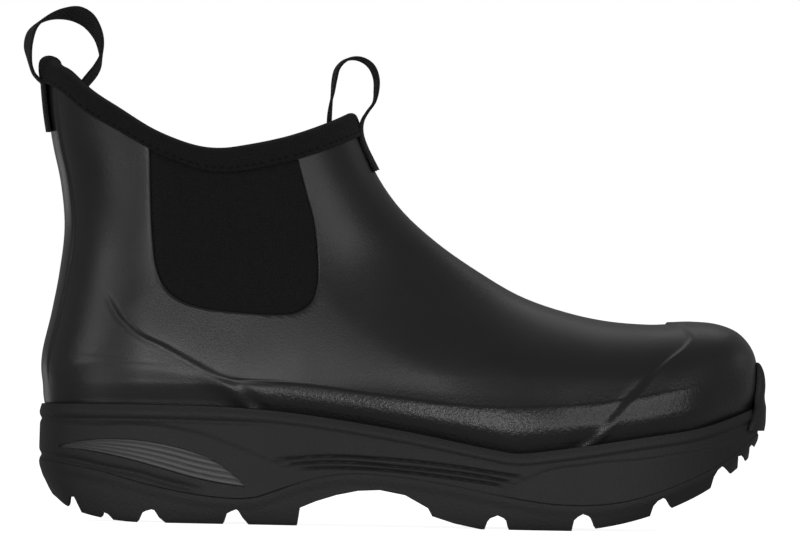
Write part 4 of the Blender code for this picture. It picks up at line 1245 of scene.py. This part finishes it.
FRONT_LOOP = (
    (138.9, 148.0, 0.0, 0.0, -1.6), (136.1, 153.2, 0.0, 0.0, -1.6), (133.7, 158.0, 0.0, 0.0, -1.5),
    (132.1, 162.4, 0.0, 0.0, -1.2), (131.7, 166.0, 0.0, 0.0, -0.9), (132.3, 169.2, 0.0, 0.0, -0.6),
    (134.0, 172.4, 0.1, 0.0, -0.3), (136.5, 176.3, 0.3, 0.1, 0.0), (137.4, 181.6, 0.8, 0.2, 0.0),
    (137.2, 186.5, 0.9, 0.3, 0.0), (135.4, 190.9, 1.0, 0.3, 0.0), (132.4, 193.5, 1.0, 0.3, 0.0),
    (128.4, 194.6, 1.0, 0.3, 0.0), (124.2, 193.6, 1.0, 0.3, 0.0), (121.0, 190.2, 0.9, 0.3, 0.0),
    (119.8, 185.3, 0.8, 0.2, 0.0), (119.2, 180.0, 0.4, 0.1, 0.0), (118.5, 175.2, -0.2, 0.0, 0.0),
    (118.3, 170.2, -0.5, 0.0, -0.3), (118.8, 165.4, -0.3, 0.0, -0.9), (121.0, 160.0, 0.0, 0.0, -1.4),
    (125.4, 154.0, 0.0, 0.0, -2.0), (130.6, 148.4, 0.0, 0.0, -2.2),
)
LOOPS = (("back", BACK_LOOP), ("front", FRONT_LOOP))


def make_loop(name, table):
    path = smooth_curve(table, LOOP_SECTIONS)
    tangent = np.gradient(path[:, :2], axis=0)
    turn = np.linspace(0.0, 2 * math.pi, LOOP_AROUND, endpoint=False)
    across, thick = [np.sign(v) * np.abs(v) ** (2 / LOOP_EDGE_POWER) for v in (np.cos(turn), np.sin(turn))]
    rings = []
    for (station, height, shift_x, shift_z, bow), (along_x, along_z) in zip(path, tangent):
        wide = np.array([-shift_x, 0.0, -shift_z]) * 2 / LOOP_WIDTH
        wide[1] = math.sqrt(1 - wide @ wide)
        face = np.cross((along_x, 0.0, along_z), wide)
        face /= np.linalg.norm(face)
        middle = np.array([station + REAR_X, 0.0, height])
        ring = middle + wide * across[:, None] * LOOP_WIDTH / 2 + face * thick[:, None] * LOOP_THICKNESS / 2
        ring[:, 0] += bow * across**2
        rings.append(ring)
    run = np.linalg.norm(np.diff(path[:, :2], axis=0), axis=1)
    along = np.concatenate([[0.0, 0.0], np.cumsum(run), [run.sum()]]) * MM
    places = np.append(across, across[0]) * LOOP_WIDTH / 2 * MM
    uv = np.stack(np.meshgrid(places, along), axis=-1)
    loop = wrap("pull_loop_" + name + "_webbing", with_points(np.array(rings)), (WEBBING,), uv=uv)
    smooth_with_edges(loop, 60)
    print(loop.name, round(run.sum()), "mm long,", triangles(loop), "triangles")
    return loop


loops = [make_loop(*row) for row in LOOPS]

# %% [markdown]
# ## Each piece takes the place of a plain solid
# Every piece rides on the boot's one body and hides the plain solid that it stands for.

# %% Ride and replace
PIECES = (
    (upper, "boot_rubber", ("upper",)),
    (gussets[0], "stretch_fabric", ("gusset_lateral",)),
    (gussets[1], "stretch_fabric", ("gusset_medial",)),
    (binding, "binding_fabric", ("collar_binding",)),
    (binding_seam, "binding_fabric", ()),
    (midsole, "sole_rubber", ("midsole",)),
    (outsole, "sole_rubber", ("outsole",)),
    (bumper, "sole_rubber", ("toe_bumper",)),
    (inserts[0], "insert_foam", ("heel_insert_lateral",)),
    (inserts[1], "insert_foam", ("heel_insert_medial",)),
    (footbed, "footbed_fabric", ("insole",)),
    (loops[0], "webbing", ("pull_loop_back",)),
    (loops[1], "webbing", ("pull_loop_front",)),
)
for piece, slot, nodes in PIECES:
    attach(piece, "root")
    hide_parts(*nodes)
print("pieces:", len(PIECES), "with", sum(triangles(piece) for piece, _, _ in PIECES), "triangles")

# %% [markdown]
# ## Floor, light and camera
# The boot is shown from its outer side on a pale floor. The camera is far away with a long lens, level with the boot
# and rolled by about one degree, as in the picture. The floor glows softly, so that it melts into the white behind,
# and soft boxes around the boot draw the highlights along the rubber.

# %% Floor and world
def make_floor():
    bpy.ops.object.select_all(action="DESELECT")
    bpy.ops.mesh.primitive_plane_add(size=80.0)
    floor = bpy.context.object
    floor.name = "studio_floor"
    finish, tree, shader = new_finish("pale_floor")
    tone = add_node(tree, "ShaderNodeTexNoise", Vector=object_place(tree), Scale=2.0)
    set_grey(tree, shader, tone.outputs["Fac"], 0.86, 0.90)
    shader.inputs["Roughness"].default_value = 0.9
    shader.inputs["Specular IOR Level"].default_value = 0.0
    shader.inputs["Emission Color"].default_value = (1.0, 1.0, 1.0, 1.0)
    shader.inputs["Emission Strength"].default_value = 0.92
    floor.data.materials.append(finish)
    floor.visible_glossy = False
    floor.visible_diffuse = False
    floor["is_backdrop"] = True


def make_world():
    """White behind the boot, and a dim grey in its reflections."""
    world = bpy.data.worlds.new("studio")
    bpy.context.scene.world = world
    world.use_nodes = True
    tree = world.node_tree
    seen = tree.nodes["Background"]
    seen.inputs["Color"].default_value = (1.0, 1.0, 1.0, 1.0)
    around = add_node(tree, "ShaderNodeBackground", Color=(1.0, 1.0, 1.0, 1.0), Strength=0.2)
    camera_ray = tree.nodes.new("ShaderNodeLightPath").outputs["Is Camera Ray"]
    mixed = tree.nodes.new("ShaderNodeMixShader")
    tree.links.new(camera_ray, mixed.inputs[0])
    tree.links.new(around.outputs[0], mixed.inputs[1])
    tree.links.new(seen.outputs[0], mixed.inputs[2])
    tree.links.new(mixed.outputs[0], tree.nodes["World Output"].inputs["Surface"])


make_floor()
make_world()
bpy.context.scene.view_settings.view_transform = "Standard"
print("floor and world set")

# %% Lights
# Name, way towards it round the boot and up, in degrees, size and power: each is aimed at the boot's middle
SOFT_BOXES = (
    ("front_box", -100, -3, (0.38, 0.75), 6.8),
    ("ridge_box", -78, -1, (0.4, 0.5), 1.7),
    ("heel_fill_box", -120, 10, (0.35, 0.25), 0.4),
    ("heel_side_box", -148, 12, (0.9, 0.4), 3.2),
    ("heel_low_box", -134, -14, (0.8, 0.3), 2.0),
    ("toe_side_box", -55, 22, (1.0, 0.65), 4.2),
    ("toe_low_box", -54, -4, (1.1, 0.4), 3.4),
    ("low_box", -90, -20, (1.8, 0.35), 0.6),
    ("back_box", 90, 48, (1.6, 0.6), 2.2),
    ("toe_rim", 25, 18, (0.5, 0.5), 0.36),
    ("heel_rim", 132, -8, (0.5, 0.5), 1.0),
)
BOX_DISTANCE = 1.8
BOOT_MIDDLE = Vector((0.0, 0.0, 0.09))

for name, around, up, (wide, high), power in SOFT_BOXES:
    light = bpy.data.lights.new(name, "AREA")
    light.shape = "RECTANGLE"
    light.size, light.size_y, light.energy = wide, high, power
    box = bpy.data.objects.new(name, light)
    way = Matrix.Rotation(math.radians(around), 3, "Z") @ Matrix.Rotation(math.radians(-up), 3, "Y")
    box.location = BOOT_MIDDLE + way @ Vector((BOX_DISTANCE, 0.0, 0.0))
    box.rotation_euler = (BOOT_MIDDLE - box.location).to_track_quat("-Z", "Y").to_euler()
    box.visible_camera = False
    bpy.context.collection.objects.link(box)
print("lights:", len(SOFT_BOXES))

# %% Camera
CAMERA_DISTANCE = 8.0
VIEW_MIDDLE = (0.0026, 0.108)
VIEW_WIDTH = 0.3333
VIEW_ROLL = math.radians(1.09)

camera_data = bpy.data.cameras.new("side_view")
camera_data.sensor_width = 36.0
camera_data.lens = camera_data.sensor_width * CAMERA_DISTANCE / VIEW_WIDTH
camera_data.clip_end = 100.0
camera = bpy.data.objects.new("side_view", camera_data)
camera.location = (VIEW_MIDDLE[0], -CAMERA_DISTANCE, VIEW_MIDDLE[1])
camera.rotation_euler = (math.radians(90), -VIEW_ROLL, 0.0)
bpy.context.collection.objects.link(camera)
bpy.context.scene.camera = camera
print("camera:", round(camera_data.lens), "mm lens")

# %% [markdown]
# ## The dressed boot's size
# The dressed boot is meant to keep the frame's size; the box round it is printed.

# %% Sizes
low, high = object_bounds()
print("visual box", low, high)
